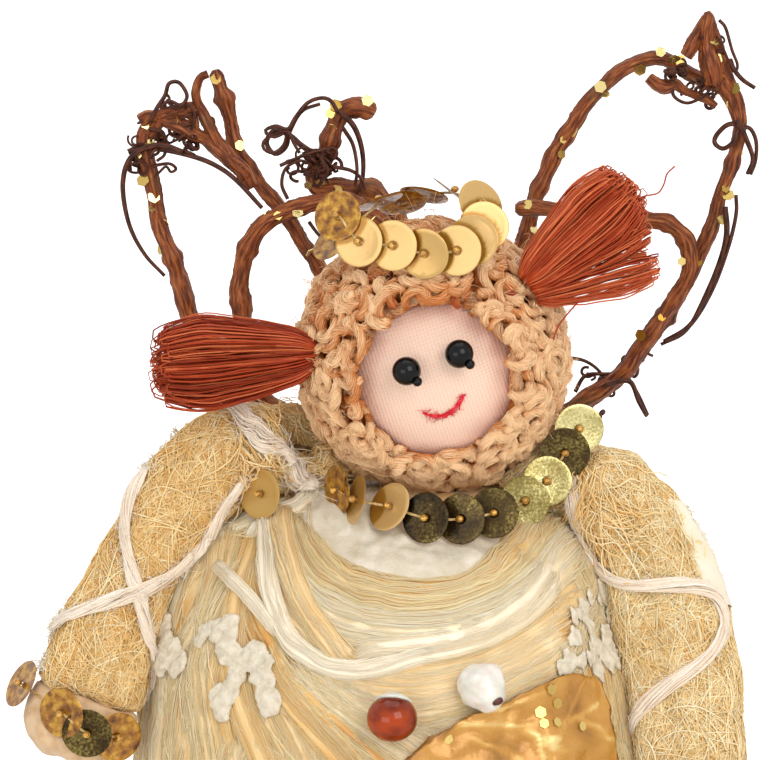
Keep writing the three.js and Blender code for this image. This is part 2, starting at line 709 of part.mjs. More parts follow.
// The least gap of the hank to itself, between points that aren't on the same bend.
function leastStrandGap() {
  const points = openCurve(pigtailPath()).getSpacedPoints(strandSamples);
  const apart = Math.ceil((strandPitch * Math.PI) / points[0].distanceTo(points[1]));
  let least = Infinity;
  points.forEach((point, i) => {
    for (let j = i + apart; j < points.length; j++) least = Math.min(least, point.distanceTo(points[j]));
  });
  return least - 2 * strandRadius;
}
console.log("least gap of a pigtail hank to itself: " + leastStrandGap().toFixed(2) + " mm");

const pigtail = () => tube(pigtailPath(), strandRadius, strandPlaces.length * 5, strandSides);

// The tie draws the hank in, clear of the outermost fibres as they start to spread.
const spreadAtTie = 1 + (pigtailSpreadShare - 1) * easeIn((tieRoomShare * tieWidth) / pigtailLength);
const tieInner = widestPlace * strandPitch * spreadAtTie + strandRadius + gap;

const pigtailTie = () => lathe(
  [[tieInner, 0], [tieInner + tieWall, 0], [tieInner + tieWall, tieWidth], [tieInner, tieWidth], [tieInner, 0]],
  holeSides,
).rotateY(90 * degree);

// A pigtail starts on the head's cover, ahead of and above the ear.
function pigtailPose(side) {
  const start = new THREE.Vector3().setFromSphericalCoords(
    coverRadius + gap + strandPitch, 90 * degree - pigtailRootRise, 90 * degree - pigtailForward);
  return new THREE.Matrix4()
    .makeTranslation(side * start.x, -start.z, start.y)
    .multiply(new THREE.Matrix4().makeRotationZ(side > 0 ? -pigtailSweep : Math.PI + pigtailSweep))
    .multiply(new THREE.Matrix4().makeRotationY(-pigtailAngle));
}

function pigtailSeat(side) {
  const radius = tieInner + tieWall + gap;
  return lathe([[0, -strandPitch], [radius, -strandPitch], [radius, hairRadius], [0, hairRadius]], holeSides)
    .rotateY(90 * degree)
    .applyMatrix4(pigtailPose(side));
}

// Sleeves

function armOf(side, shares, wristOut, drop, girth) {
  const reach = gownRadiusAt(side * 90 * degree, gownHeight - drop) + wristOut;
  const forward = gownHemRadius * sleeveForwardShare;
  const points = shares.map(([out, ahead, up]) =>
    new THREE.Vector3(side * out * reach, -ahead * forward, gownHeight + up * drop));
  const curve = openCurve(points);
  const girths = shares.map((row, i) => [i / (shares.length - 1), row[3] * girth]);
  const girthAt = (share) => readTable(girths, curve.getUtoTmapping(share))[0];
  return { side, curve, girthAt };
}
const leftArm = armOf(-1, leftSleeveShares, leftWristOut, leftDrop, leftGirth);
const rightArm = armOf(1, rightSleeveShares, rightWristOut, rightDrop, rightGirth);

// The directions along, ahead of and across an arm at a share of its length.
function armFrame({ curve, side }, share) {
  const along = curve.getTangentAt(share);
  const front = new THREE.Vector3(0, -1, 0).projectOnPlane(along).normalize();
  return { along, front, across: new THREE.Vector3().crossVectors(along, front).multiplyScalar(-side) };
}

// A point on a sleeve. Turn zero is its front, and a quarter turn its upper or outer side.
function onSleeve(arm, share, turn, offset = 0) {
  const { front, across } = armFrame(arm, share);
  const girth = arm.girthAt(share) + sleeveFoldDepth * Math.cos(sleeveFolds * (turn + share));
  return arm.curve.getPointAt(share)
    .addScaledVector(front, Math.cos(turn) * (girth * sleeveFlatShare + offset))
    .addScaledVector(across, Math.sin(turn) * (girth + offset));
}

function sleeveShape(arm, growth) {
  return loft(Array.from({ length: sleeveSteps + 1 }, (_, i) =>
    Array.from({ length: sleeveSides }, (__, j) =>
      onSleeve(arm, i / sleeveSteps, (j / sleeveSides) * fullTurn, growth))));
}

const sleeve = (arm, ...dents) =>
  cut(sleeveShape(arm, 0), wrapShape(gap), headRoom(), armWire(gap), necklaceRoom(), ...dents);

// One wire runs from wrist to wrist through both sleeves, behind the skewer.
function armWire(growth) {
  const behind = neckHoleRadius + gap;
  const crossing = [-1, 0, 1].map((side) =>
    new THREE.Vector3(headOffset / 2 + side * neckHoleRadius, behind, wrapTop + neckLength / 2));
  const inSleeve = ({ curve }) => [
    ...wireStationShares.map((share) => curve.getPointAt(share)),
    curve.getPointAt(1).addScaledVector(curve.getTangentAt(1), cuffLength / 2 + growth),
  ];
  const points = [...inSleeve(leftArm).reverse(), ...crossing, ...inSleeve(rightArm)];
  return tube(points, armWireRadius + growth, 26, strandSides);
}

// A cuff carries on from the sleeve's end and rounds over at the hand.
function cuff(arm) {
  const { along, front, across } = armFrame(arm, 1);
  const start = arm.curve.getPointAt(1).addScaledVector(along, gap);
  const rings = cuffOutlineShares.map(([share, wide]) => {
    const size = arm.girthAt(1) * wide * cuffFlareShare;
    return circle(start.clone().addScaledVector(along, share * cuffLength), across, front,
      size, size * sleeveFlatShare, sleeveSides);
  });
  return cut(loft(rings), armWire(gap), wrapShape(gap));
}

// Sequins on a short thread round the front of a wrist.
function cuffStrand(arm) {
  const { along, front, across } = armFrame(arm, 1);
  const middle = arm.curve.getPointAt(1).addScaledVector(along, cuffLength * cuffStrandShare);
  const clear = gap + sequinRadius * Math.sin(sequinTilt) + sequinThickness;
  const wide = arm.girthAt(1) * cuffFlareShare + clear;
  const high = arm.girthAt(1) * cuffFlareShare * sleeveFlatShare + clear;
  const bends = 2 * cuffSequinCount;
  const points = Array.from({ length: bends + 1 }, (_, i) => {
    const turn = (i / bends + cuffStrandStartShare) * ((cuffSequinCount * sequinPitch) / high);
    return middle.clone()
      .addScaledVector(front, Math.cos(turn) * high)
      .addScaledVector(across, Math.sin(turn) * wide);
  });
  return sequinStrand(openCurve(points), cuffSequinCount,
    (place) => place.clone().sub(middle), false);
}

// Yarn

function sleeveYarnShape(arm, shares, growth) {
  const points = shares.map(([share, turn, below]) => onSleeve(arm, share, turn * degree,
    gap + yarnRadius + sleeveFoldDepth + below * (2 * yarnRadius + gap)));
  return tube(points, yarnRadius + growth, shares.length * 2, wireSides);
}

function bodiceYarnShape(growth) {
  const surfaceAt = (turn, z) => wrapOuterAt(turn, z) + gap + yarnRadius + wrapFoldDepth;
  const points = bodiceYarnShares.map(([across, up]) =>
    onFront(surfaceAt, across * gownHemRadius, up * gownHeight));
  return tube(points, yarnRadius + growth, points.length * 2, wireSides);
}

const sleeveYarn = (arm, shares) => cut(sleeveYarnShape(arm, shares, 0),
  sleeveShape(arm, gap), wrapShape(gap), necklaceRoom(), headRoom(), leafShape(gap));

const bodiceYarn = () => cut(bodiceYarnShape(0), wrapShape(gap));

// A single sequin, sewn flat to the front of the left shoulder.
function looseSequinPose() {
  const lift = gap + sequinThickness / 2;
  const place = onSleeve(leftArm, looseSequinAlongShare, looseSequinTurn, lift);
  const towards = place.clone().sub(onSleeve(leftArm, looseSequinAlongShare, looseSequinTurn));
  return [place, towards.normalize()];
}
const looseSequin = () => join(...sequin(...looseSequinPose()));

// The dent that it presses in the sleeve.
function looseSequinRoom() {
  const [place, towards] = looseSequinPose();
  const turnTo = new THREE.Quaternion().setFromUnitVectors(new THREE.Vector3(0, 1, 0), towards);
  const [radius, depth] = [sequinRadius + gap, sequinThickness + 2 * gap];
  return new THREE.CylinderGeometry(radius, radius, depth, sequinSides)
    .applyQuaternion(turnTo)
    .translate(...place);
}

// Wings, in a frame with its origin at the hub where the vines meet

const vinePitch = 2 * vineRadius + gap;
const bodyBack = Math.max(wrapOuterAt(Math.PI, wingHubHeight - vineTail), hairRadius + hairCurlDepth);
const wingSetBack = bodyBack + gap + vineRadius;
const intoWings = new THREE.Matrix4().makeTranslation(0, -wingSetBack, -wingHubHeight);

// Vines that cross lie in layers, and they meet the hub in columns.
const vines = {
  wing_right_loop: { side: 1, layer: 0, column: 0, shares: rightLoopShares },
  wing_left_loop: { side: -1, layer: 0, column: 0, shares: leftLoopShares },
  wing_right_outer: { side: 1, layer: 1, column: 0, shares: rightOuterShares },
  wing_left_outer: { side: -1, layer: 1, column: 0, shares: leftOuterShares },
  wing_right_inner: { side: 1, layer: 2, column: 0, shares: rightInnerShares },
  wing_left_stub: { side: -1, layer: 2, column: 0, shares: leftStubShares },
  wing_left_inner: { side: -1, layer: 2, column: 1, shares: leftInnerShares },
};
const tendrils = {
  tendril_left_hook: { side: -1, layer: 1, shares: leftHookShares },
  tendril_left_curl: { side: -1, layer: 2, shares: leftCurlShares },
  tendril_left_bow: { side: -1, layer: 2, shares: leftBowShares },
  tendril_right_hook: { side: 1, layer: 1, shares: rightHookShares },
  tendril_right_bow: { side: 1, layer: 1, shares: rightBowShares },
  tendril_right_foot: { side: 1, layer: 0, shares: rightFootShares },
};

const wingPoint = (side, depth, [out, up]) =>
  new THREE.Vector3(side * out * (side > 0 ? rightWingReach : leftWingReach), depth, up * wingRise);

function vine({ side, layer, column, shares }, growth = 0) {
  const depth = layer * vinePitch;
  const foot = new THREE.Vector3(side * (column + 1 / 2) * vinePitch, depth, -vineTail);
  const points = [foot, foot.clone().setZ(0), ...shares.map((row) => wingPoint(side, depth, row))];
  return tube(points, vineRadius + growth, shares.length + 6);
}

function tendril({ side, layer, shares }) {
  const ahead = vineRadius + gap + tendrilRadius;
  const points = shares.map((row) =>
    wingPoint(side, layer * vinePitch - ahead - row[2] * vineRadius, row));
  return tube(points, tendrilRadius, shares.length * 2, strandSides);
}

// A pad of hot glue fills the space from the gown's back to the vines.
function wingPad() {
  const pad = smallBall(1 / 2).scale(padWidth, padDepth, padHeight).translate(0, vinePitch, 0);
  const inTheWay = [wrapShape(gap), headRoom()].map((room) => room.applyMatrix4(intoWings));
  return cut(pad, ...inTheWay, ...Object.values(vines).map((spec) => vine(spec, gap)));
}

// Trims on the front

// A leaf that follows the body's curve, from its stem up to its tip.
function leafPoint(share, side, lift, growth) {
  const along = (share - 1 / 2) * (leafLength + 2 * growth);
  const wide = side * (readTable(leafWidthShares, share)[0] * leafWidth + growth);
  const across = leafPlaceShares[0] * gownHemRadius + along * Math.sin(leafLean) + wide * Math.cos(leafLean);
  const z = leafPlaceShares[1] * gownHeight + along * Math.cos(leafLean) - wide * Math.sin(leafLean);
  const surfaceAt = (turn, height) =>
    gownRadiusAt(turn, height) + 2 * gap + wrapThickness + wrapFoldDepth + lift;
  return onFront(surfaceAt, across, z);
}

function leafShape(growth) {
  const sides = [-1, -1 / 2, 0, 1 / 2, 1];
  return loft(Array.from({ length: leafSteps + 1 }, (_, i) => [
    ...sides.map((side) => leafPoint(i / leafSteps, side, leafThickness + growth, growth)),
    ...sides.toReversed().map((side) => leafPoint(i / leafSteps, side, -growth, growth)),
  ]));
}

// The centre of a ball of a given size that rests on the bodice.
const restingOn = ([across, up], size) =>
  onFront((turn, height) => wrapOuterAt(turn, height) + size + gap + wrapFoldDepth,
    across * gownHemRadius, up * gownHeight);

const amberBead = () => ball(amberRadius).translate(...restingOn(amberPlaceShares, amberRadius));

// An uneven ball, as a dried berry or a tuft of cotton is, sunk a little in the floss.
function lump(radius, placeShares, seed) {
  const geometry = new THREE.IcosahedronGeometry(radius, 1);
  const position = geometry.attributes.position;
  const point = new THREE.Vector3();
  for (let i = 0; i < position.count; i++) {
    point.fromBufferAttribute(position, i).normalize();
    const [wideWave, deepWave, tallWave] = lumpWaves.map((count, axis) => count * point.getComponent(axis));
    const wave = Math.sin(wideWave + seed) * Math.cos(deepWave - seed) * Math.sin(tallWave + seed);
    point.multiplyScalar(radius * (1 + lumpDepthShare * wave));
    position.setXYZ(i, ...point);
  }
  return geometry.translate(...restingOn(placeShares, radius * lumpStandShare));
}

const berry = () => cut(lump(berryRadius, berryPlaceShares, 1), wrapShape(gap));

// Cotton tufts are pressed in round the yarn beside them.
const tuft = (placeShares, seed) => cut(lump(tuftRadius, placeShares, seed), wrapShape(gap),
  sleeveYarnShape(leftArm, leftDownYarnShares, gap), sleeveYarnShape(leftArm, leftAcrossYarnShares, gap),
  sleeveYarnShape(rightArm, rightYarnShares, gap), bodiceYarnShape(gap),
  sleeveShape(leftArm, gap), sleeveShape(rightArm, gap));

// Assembly

const head = new THREE.Group();
head.applyMatrix4(headPose);
const crownMesh = meshOf("crown", crown(), material.gold);
crownMesh.applyMatrix4(crownPose);
head.add(
  meshOf("head_ball", headBall(), material.foam),
  meshOf("face_cover", faceCover(), material.jersey),
  meshOf("hair", hair(), material.hair),
  meshOf("eye_left", eye(eyePlaces[0]), material.eye),
  meshOf("eye_right", eye(eyePlaces[1]), material.eye),
  meshOf("mouth_stitch", mouthStitch(), material.mouth),
  crownMesh,
);
for (const [name, side] of [["left", -1], ["right", 1]]) {
  const hank = new THREE.Group();
  hank.applyMatrix4(pigtailPose(side));
  hank.add(
    meshOf("pigtail_" + name, pigtail(), material.fibre),
    meshOf("pigtail_tie_" + name, pigtailTie(), material.fibre),
  );
  head.add(hank);
}

const wings = new THREE.Group();
wings.position.set(0, wingSetBack, wingHubHeight);
for (const [name, spec] of Object.entries(vines)) {
  wings.add(meshOf(name, vine(spec), material.vine));
}
for (const [name, spec] of Object.entries(tendrils)) {
  wings.add(meshOf(name, tendril(spec), material.tendril));
}
wings.add(meshOf("wing_pad", wingPad(), material.glue));

const figure = new THREE.Group();
figure.add(
  meshOf("base_disc", baseDisc(), material.card),
  meshOf("foam_cone", foamCone(), material.foam),
  meshOf("neck_skewer", neckSkewer(), material.bamboo),
  meshOf("gown", gown(), material.sisal),
  meshOf("bodice_wrap", bodiceWrap(), material.floss),
  meshOf("necklace", necklace(), material.gold),
  meshOf("arm_wire", armWire(0), material.wire),
  meshOf("sleeve_left", sleeve(leftArm, looseSequinRoom()), material.sisal),
  meshOf("sleeve_right", sleeve(rightArm, leafShape(gap)), material.sisal),
  meshOf("cuff_left", cuff(leftArm), material.white),
  meshOf("cuff_right", cuff(rightArm), material.white),
  meshOf("cuff_sequins_left", cuffStrand(leftArm), material.gold),
  meshOf("cuff_sequins_right", cuffStrand(rightArm), material.gold),
  meshOf("yarn_collar", sleeveYarn(leftArm, collarYarnShares), material.yarn),
  meshOf("yarn_left_down", sleeveYarn(leftArm, leftDownYarnShares), material.yarn),
  meshOf("yarn_left_across", sleeveYarn(leftArm, leftAcrossYarnShares), material.yarn),
  meshOf("yarn_right", sleeveYarn(rightArm, rightYarnShares), material.yarn),
  meshOf("yarn_bodice", bodiceYarn(), material.yarn),
  meshOf("loose_sequin", looseSequin(), material.gold),
  meshOf("gold_leaf", leafShape(0), material.leaf),
  meshOf("amber_bead", amberBead(), material.amber),
  meshOf("white_berry", berry(), material.white),
  meshOf("tuft_left", tuft(leftTuftPlaceShares, 2), material.white),
  meshOf("tuft_middle", tuft(middleTuftPlaceShares, 3), material.white),
  meshOf("tuft_right", tuft(rightTuftPlaceShares, 5), material.white),
  head,
  wings,
);

export default figure;
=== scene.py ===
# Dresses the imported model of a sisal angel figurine: a floss bodice and a fibre gown,
# fibre sleeves bound with yarn, a jersey face in mohair curls, looped pigtails, sequins,
# and wings of bent vine. Shapes are worked out in millimetres, in the frame's own axes,
# and become metres when a mesh is made from them. Pixels are those of the photograph.
import math

import bpy
import numpy as np
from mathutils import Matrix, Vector
from mathutils.bvhtree import BVHTree


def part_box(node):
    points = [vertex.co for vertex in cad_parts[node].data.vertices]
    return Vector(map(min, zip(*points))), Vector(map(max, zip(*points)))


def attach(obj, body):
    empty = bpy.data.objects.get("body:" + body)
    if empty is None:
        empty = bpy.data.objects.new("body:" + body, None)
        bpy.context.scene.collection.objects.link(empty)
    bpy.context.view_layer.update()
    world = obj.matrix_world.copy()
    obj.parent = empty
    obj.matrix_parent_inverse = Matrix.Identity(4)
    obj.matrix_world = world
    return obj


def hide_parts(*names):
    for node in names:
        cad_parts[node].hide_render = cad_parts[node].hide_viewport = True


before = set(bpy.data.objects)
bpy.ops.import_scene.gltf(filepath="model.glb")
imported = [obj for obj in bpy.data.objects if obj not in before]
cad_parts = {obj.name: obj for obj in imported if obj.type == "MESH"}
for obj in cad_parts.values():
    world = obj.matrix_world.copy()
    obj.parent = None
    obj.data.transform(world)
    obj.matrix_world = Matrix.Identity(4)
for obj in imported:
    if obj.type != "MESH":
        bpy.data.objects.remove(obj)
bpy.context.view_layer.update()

MM = 0.001
TURN = 2 * math.pi
SIDES = ("left", "right")
SKYWARD = np.array([0, 0, 1.0])
REARWARD = np.array([0, 1.0, 0])

# The photograph's camera: the scale at its target, in millimetres a pixel
PHOTO_SIDE = 760
PIXEL = 0.12
CAMERA_TARGET = np.array([-4.8, 0.0, 114.5])
CAMERA_ELEVATION = math.radians(10)
CAMERA_DISTANCE = 700
CLIP_NEAR, CLIP_FAR = 0.01, 20
SENSOR = 36
VIEW_BACK = np.array([0, -math.cos(CAMERA_ELEVATION), math.sin(CAMERA_ELEVATION)])
VIEW_UP = np.array([0, math.sin(CAMERA_ELEVATION), math.cos(CAMERA_ELEVATION)])
VIEW_RIGHT = np.array([1.0, 0, 0])
CAMERA_PLACE = CAMERA_TARGET + CAMERA_DISTANCE * VIEW_BACK


def make_camera():
    data = bpy.data.cameras.new("camera")
    data.sensor_width = SENSOR
    data.lens = SENSOR * CAMERA_DISTANCE / (PHOTO_SIDE * PIXEL)
    data.clip_start = CLIP_NEAR
    data.clip_end = CLIP_FAR
    camera = bpy.data.objects.new("camera", data)
    camera.location = Vector(CAMERA_PLACE * MM)
    camera.rotation_euler = (math.radians(90) - CAMERA_ELEVATION, 0, 0)
    bpy.context.scene.collection.objects.link(camera)
    bpy.context.scene.camera = camera


make_camera()


# Numbers and curves

RIPPLE_WAVES = 9
SPLINE_STEPS = 12


def unit(vectors):
    return vectors / np.maximum(np.linalg.norm(vectors, axis=-1, keepdims=True), 1e-9)


def ease(share):
    share = np.clip(share, 0, 1)
    return share * share * (3 - 2 * share)


def ripple(points, pitch, seed):
    """A smooth uneven height, about -1 to 1, with waves of about one pitch."""
    rng = np.random.default_rng(seed)
    total = 0
    for _ in range(RIPPLE_WAVES):
        way = unit(rng.normal(size=3)) * TURN / (pitch * rng.uniform(0.7, 1.7))
        total = total + np.sin(points @ way + rng.uniform(0, TURN))
    return total / 4


def spline(points, count):
    """Points at equal steps on a smooth curve through a few points, of any dimension."""
    points = np.asarray(points, float)
    ends = [2 * points[0] - points[1], *points, 2 * points[-1] - points[-2]]
    steps = np.linspace(0, 1, SPLINE_STEPS, endpoint=False)[:, None]
    pieces = []
    for a, b, c, d in zip(ends, ends[1:], ends[2:], ends[3:]):
        pieces.append(b + steps * (c - a) / 2 + steps ** 2 * (2 * a - 5 * b + 4 * c - d) / 2
                      + steps ** 3 * (3 * b - a - 3 * c + d) / 2)
    dense = np.vstack([*pieces, points[-1:]])
    run = np.r_[0, np.cumsum(np.linalg.norm(np.diff(dense, axis=0), axis=1))]
    wanted = np.linspace(0, run[-1], count)
    return np.stack([np.interp(wanted, run, column) for column in dense.T], axis=1)


def evened(values, passes):
    """Values along a line, each drawn towards its neighbours."""
    values = np.array(values, float)
    for _ in range(passes):
        values[1:-1] = (values[:-2] + 2 * values[1:-1] + values[2:]) / 4
    return values


def from_ends(steps):
    """How many steps each point of a line is from its nearer end."""
    return np.minimum(np.arange(steps), np.arange(steps)[::-1])


def bent_hairs(starts, middles, ends, steps):
    """Short hairs, each a curve through three points."""
    return np.array([spline([a, b, c], steps) for a, b, c in zip(starts, middles, ends)])


def frames(paths):
    """Tangent, side and up at every point of paths shaped (count, points, 3), without twist."""
    tangent = unit(np.gradient(paths, axis=1))
    side = np.empty_like(tangent)
    axis = np.eye(3)[np.abs(tangent[:, 0]).argmin(axis=1)]
    side[:, 0] = unit(np.cross(tangent[:, 0], axis))
    for i in range(1, paths.shape[1]):
        last = side[:, i - 1]
        along = tangent[:, i]
        side[:, i] = unit(last - along * (last * along).sum(axis=1, keepdims=True))
    return tangent, side, np.cross(tangent, side)


def bundle(lines, spread, count, turns, rng):
    """Twisted strands round each line, as paths shaped (lines * count, points, 3)."""
    _, side, up = frames(lines)
    share = np.linspace(0, 1, lines.shape[1])
    angle = (TURN * np.arange(count) / count + rng.uniform(0, TURN, (len(lines), 1)))[:, :, None]
    angle = angle + TURN * turns * share
    out = np.asarray(spread) * np.ones(lines.shape[:2])
    ring = (np.cos(angle)[..., None] * side[:, None] + np.sin(angle)[..., None] * up[:, None])
    paths = lines[:, None] + ring * out[:, None, :, None]
    return paths.reshape(-1, lines.shape[1], 3)


def round_of(count):
    """Even turns once round, without the last one that would close it."""
    return np.linspace(0, TURN, count, endpoint=False)


def polar(tilt, turn, pole, first, second):
    """Directions at a tilt from a pole, one row for each tilt and one column for each turn."""
    tilt, turn = tilt[:, None, None], turn[None, :, None]
    return np.cos(tilt) * pole + np.sin(tilt) * (np.cos(turn) * first + np.sin(turn) * second)


def facing(turn, lean):
    """A direction turned to the right of the front, and leaned up, in degrees."""
    angle, lift = math.radians(turn), math.radians(lean)
    return np.array([math.sin(angle) * math.cos(lift), -math.cos(angle) * math.cos(lift), math.sin(lift)])


def index_grid(rows, columns, start=0):
    """The number of each point of a grid, and of its neighbour on the right."""
    index = np.arange(rows * columns).reshape(rows, columns) + start
    return index, np.roll(index, -1, axis=1)


def quads_of(*corners):
    """Faces of four corners each, from grids of point numbers."""
    return np.stack(corners, axis=-1).reshape(-1, 4)


# Rays and surfaces

def pixel_ray(px, py):
    middle = PHOTO_SIDE / 2
    across = (px - middle) * PIXEL
    up = (middle - py) * PIXEL
    return unit(-VIEW_BACK * CAMERA_DISTANCE + VIEW_RIGHT * across + VIEW_UP * up)


def at_pixel(px, py, depth):
    """The point that the photograph shows at a pixel, in the plane Y = depth."""
    ray = pixel_ray(px, py)
    return CAMERA_PLACE + ray * (depth - CAMERA_PLACE[1]) / ray[1]


def tree_of(vertices, faces):
    return BVHTree.FromPolygons([Vector(v) for v in vertices], faces)


def cad_tree(*names):
    vertices, faces = [], []
    for name in names:
        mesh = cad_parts[name].data
        start = len(vertices)
        vertices += [v.co / MM for v in mesh.vertices]
        faces += [[start + i for i in p.vertices] for p in mesh.polygons]
    return tree_of(vertices, faces)


def seen_at(tree, px, py):
    """The first point of a surface under a pixel, or the surface's nearest point to that ray."""
    ray = pixel_ray(px, py)
    place = tree.ray_cast(Vector(CAMERA_PLACE), Vector(ray))[0]
    if place is None:
        place = tree.find_nearest(Vector(at_pixel(px, py, 0)))[0]
    return np.array(place)


def seen_line(tree, pixels, steps):
    return spline([seen_at(tree, *pixel) for pixel in pixels], steps)


def flat_line(pixels, depth, steps):
    """A curve through pixels in the plane Y = depth."""
    return spline([at_pixel(*pixel, depth) for pixel in pixels], steps)


def normal_at(tree, point):
    return np.array(tree.find_nearest(Vector(point))[1])


def draped(tree, points, lift):
    """Points moved onto a surface, and a lift away from it."""
    flat = np.asarray(points, float).reshape(-1, 3)
    lifts = (np.asarray(lift, float) * np.ones(np.shape(points)[:-1])).reshape(-1)
    out = np.empty_like(flat)
    for i, point in enumerate(flat):
        place, normal, _, _ = tree.find_nearest(Vector(point))
        out[i] = np.array(place) + np.array(normal) * lifts[i]
    return out.reshape(np.shape(points))


def cad_box(name):
    low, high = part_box(name)
    return np.array(low) / MM, np.array(high) / MM


def cad_middle(name):
    low, high = cad_box(name)
    return (low + high) / 2


# Meshes

def build_mesh(name, vertices, faces, values=None, smooth=True):
    """A mesh from vertices in millimetres and arrays of faces, with named point values."""
    mesh = bpy.data.meshes.new(name)
    vertices = np.asarray(vertices, np.float32).reshape(-1, 3) * MM
    groups = [np.asarray(group, np.int32) for group in faces if len(group)]
    sizes = np.concatenate([np.full(len(group), group.shape[1]) for group in groups])
    loops = np.concatenate([group.ravel() for group in groups])
    mesh.vertices.add(len(vertices))
    mesh.vertices.foreach_set("co", vertices.ravel())
    mesh.loops.add(len(loops))
    mesh.loops.foreach_set("vertex_index", loops)
    mesh.polygons.add(len(sizes))
    mesh.polygons.foreach_set("loop_start", np.r_[0, np.cumsum(sizes)[:-1]].astype(np.int32))
    mesh.update(calc_edges=True)
    mesh.validate()
    mesh.polygons.foreach_set("use_smooth", np.full(len(sizes), smooth))
    for key, numbers in (values or {}).items():
        layer = mesh.attributes.new(key, "FLOAT", "POINT")
        layer.data.foreach_set("value", np.asarray(numbers, np.float32).ravel())
    return mesh


def in_scene(name, mesh):
    thing = bpy.data.objects.new(name, mesh)
    bpy.context.scene.collection.objects.link(thing)
    return thing


def add_piece(name, mesh, look, replaces=()):
    thing = in_scene(name, mesh)
    looks = look if isinstance(look, (list, tuple)) else [look]
    for title in looks:
        mesh.materials.append(LOOKS[title])
    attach(thing, "root")
    if replaces:
        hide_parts(*replaces)
    return thing


def tube_mesh(name, paths, radii, sides=4, tones=0.5, relief=None):
    """One mesh of capped tubes along paths of equal point counts."""
    paths = np.asarray(paths, float)
    count, points, _ = paths.shape
    radii = np.asarray(radii, float)
    if radii.ndim == 1 and len(radii) == count:
        radii = radii[:, None]
    radii = radii * np.ones((count, points))
    _, side, up = frames(paths)
    angle = TURN * np.arange(sides) / sides
    ring = side[:, :, None] * np.cos(angle)[:, None] + up[:, :, None] * np.sin(angle)[:, None]
    out = radii[..., None] * np.ones(sides)
    if relief is not None:
        out = out * relief
    vertices = paths[:, :, None] + ring * out[..., None]
    first = (np.arange(count)[:, None] * points + np.arange(points - 1)) * sides
    near = first[..., None] + np.arange(sides)
    far = first[..., None] + np.roll(np.arange(sides), -1)
    quads = quads_of(near, far, far + sides, near + sides)
    starts = np.arange(count)[:, None] * points * sides
    low = starts + np.arange(sides)[::-1]
    high = starts + (points - 1) * sides + np.arange(sides)
    tones = np.asarray(tones, float)
    if tones.ndim == 1:
        tones = tones[:, None]
    tones = tones * np.ones((count, points))
    run = np.cumsum(np.linalg.norm(np.diff(paths, axis=1, prepend=paths[:, :1]), axis=2), axis=1)
    spread = np.ones(sides)
    values = {
        "tone": tones[..., None] * spread,
        "along": run[..., None] * spread,
        "around": np.ones((count, points, 1)) * angle,
    }
    return build_mesh(name, vertices, [quads, np.vstack([low, high])], values)


def add_tubes(name, paths, radii, sides, look, tones=0.5, replaces=(), relief=None):
    """A piece of tubes along paths."""
    return add_piece(name, tube_mesh(name, paths, radii, sides, tones, relief), look, replaces)


def grid_mesh(name, grid, values=None, wrap=False):
    """A sheet from points shaped (rows, columns, 3), closed round its columns when it wraps."""
    index, right = index_grid(*grid.shape[:2])
    stop = None if wrap else -1
    index, right = index[:, :stop], right[:, :stop]
    return build_mesh(name, grid, [quads_of(index[:-1], right[:-1], right[1:], index[1:])], values)


def melted(thing, name, voxel, passes):
    """A fine, even and smoothed copy of an object's mesh. The object goes, and its mesh with it."""
    mesh = thing.data
    remesh = thing.modifiers.new("remesh", "REMESH")
    remesh.mode = "VOXEL"
    remesh.voxel_size = voxel * MM
    smooth = thing.modifiers.new("smooth", "SMOOTH")
    smooth.iterations = passes
    graph = bpy.context.evaluated_depsgraph_get()
    shaped = bpy.data.meshes.new_from_object(thing.evaluated_get(graph))
    bpy.data.objects.remove(thing)
    bpy.data.meshes.remove(mesh)
    shaped.name = name
    return shaped


# How near two points are joined, and how often a soft copy is smoothed
WELD_REACH = 0.01
SOFT_PASSES = 14


def soft_copy(node_name, name, voxel, puff, pitch, seed):
    """A CAD solid remeshed finely, smoothed and puffed unevenly, as points and quads."""
    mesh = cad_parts[node_name].data.copy()
    mesh.name = name
    thing = in_scene(name, mesh)
    weld = thing.modifiers.new("weld", "WELD")
    weld.merge_threshold = WELD_REACH * MM
    shaped = melted(thing, name, voxel, SOFT_PASSES)
    places = np.empty(len(shaped.vertices) * 3, np.float32)
    normals = np.empty_like(places)
    shaped.vertices.foreach_get("co", places)
    shaped.vertex_normals.foreach_get("vector", normals)
    places = places.reshape(-1, 3) / MM
    places += normals.reshape(-1, 3) * (puff * ripple(places, pitch, seed))[:, None]
    shaped.materials.clear()
    return reshaped(shaped, places)


def reshaped(mesh, places):
    """The same mesh with its points moved, and shaded smooth."""
    mesh.vertices.foreach_set("co", (places * MM).astype(np.float32).ravel())
    mesh.polygons.foreach_set("use_smooth", np.ones(len(mesh.polygons), bool))
    mesh.update()
    return mesh


def tree_of_mesh(mesh):
    return tree_of([v.co / MM for v in mesh.vertices], [tuple(p.vertices) for p in mesh.polygons])


def ball_grid(radius, rows=24, columns=32):
    tilt = np.linspace(0.01, math.pi - 0.01, rows)[:, None]
    turn = round_of(columns)[None, :]
    return radius * np.stack([np.sin(tilt) * np.cos(turn), np.sin(tilt) * np.sin(turn),
                              np.cos(tilt) * np.ones_like(turn)], axis=-1)


def joined(name, grids, values=None, smooth=True):
    """Closed bodies of rows and columns, with their ends filled, as one mesh."""
    vertices, quads, caps, start = [], [], {}, 0
    for grid in grids:
        rows, columns, _ = grid.shape
        index, right = index_grid(rows, columns, start)
        quads.append(quads_of(index[:-1], index[1:], right[1:], right[:-1]))
        caps.setdefault(columns, []).extend([index[0], index[-1][::-1]])
        vertices.append(grid.reshape(-1, 3))
        start += rows * columns
    faces = [np.concatenate(quads), *map(np.array, caps.values())]
    return build_mesh(name, np.concatenate(vertices), faces, values, smooth)


# Materials

LOOKS = {}
KNIT_RIB = 0.42
KNIT_COURSE = 0.4
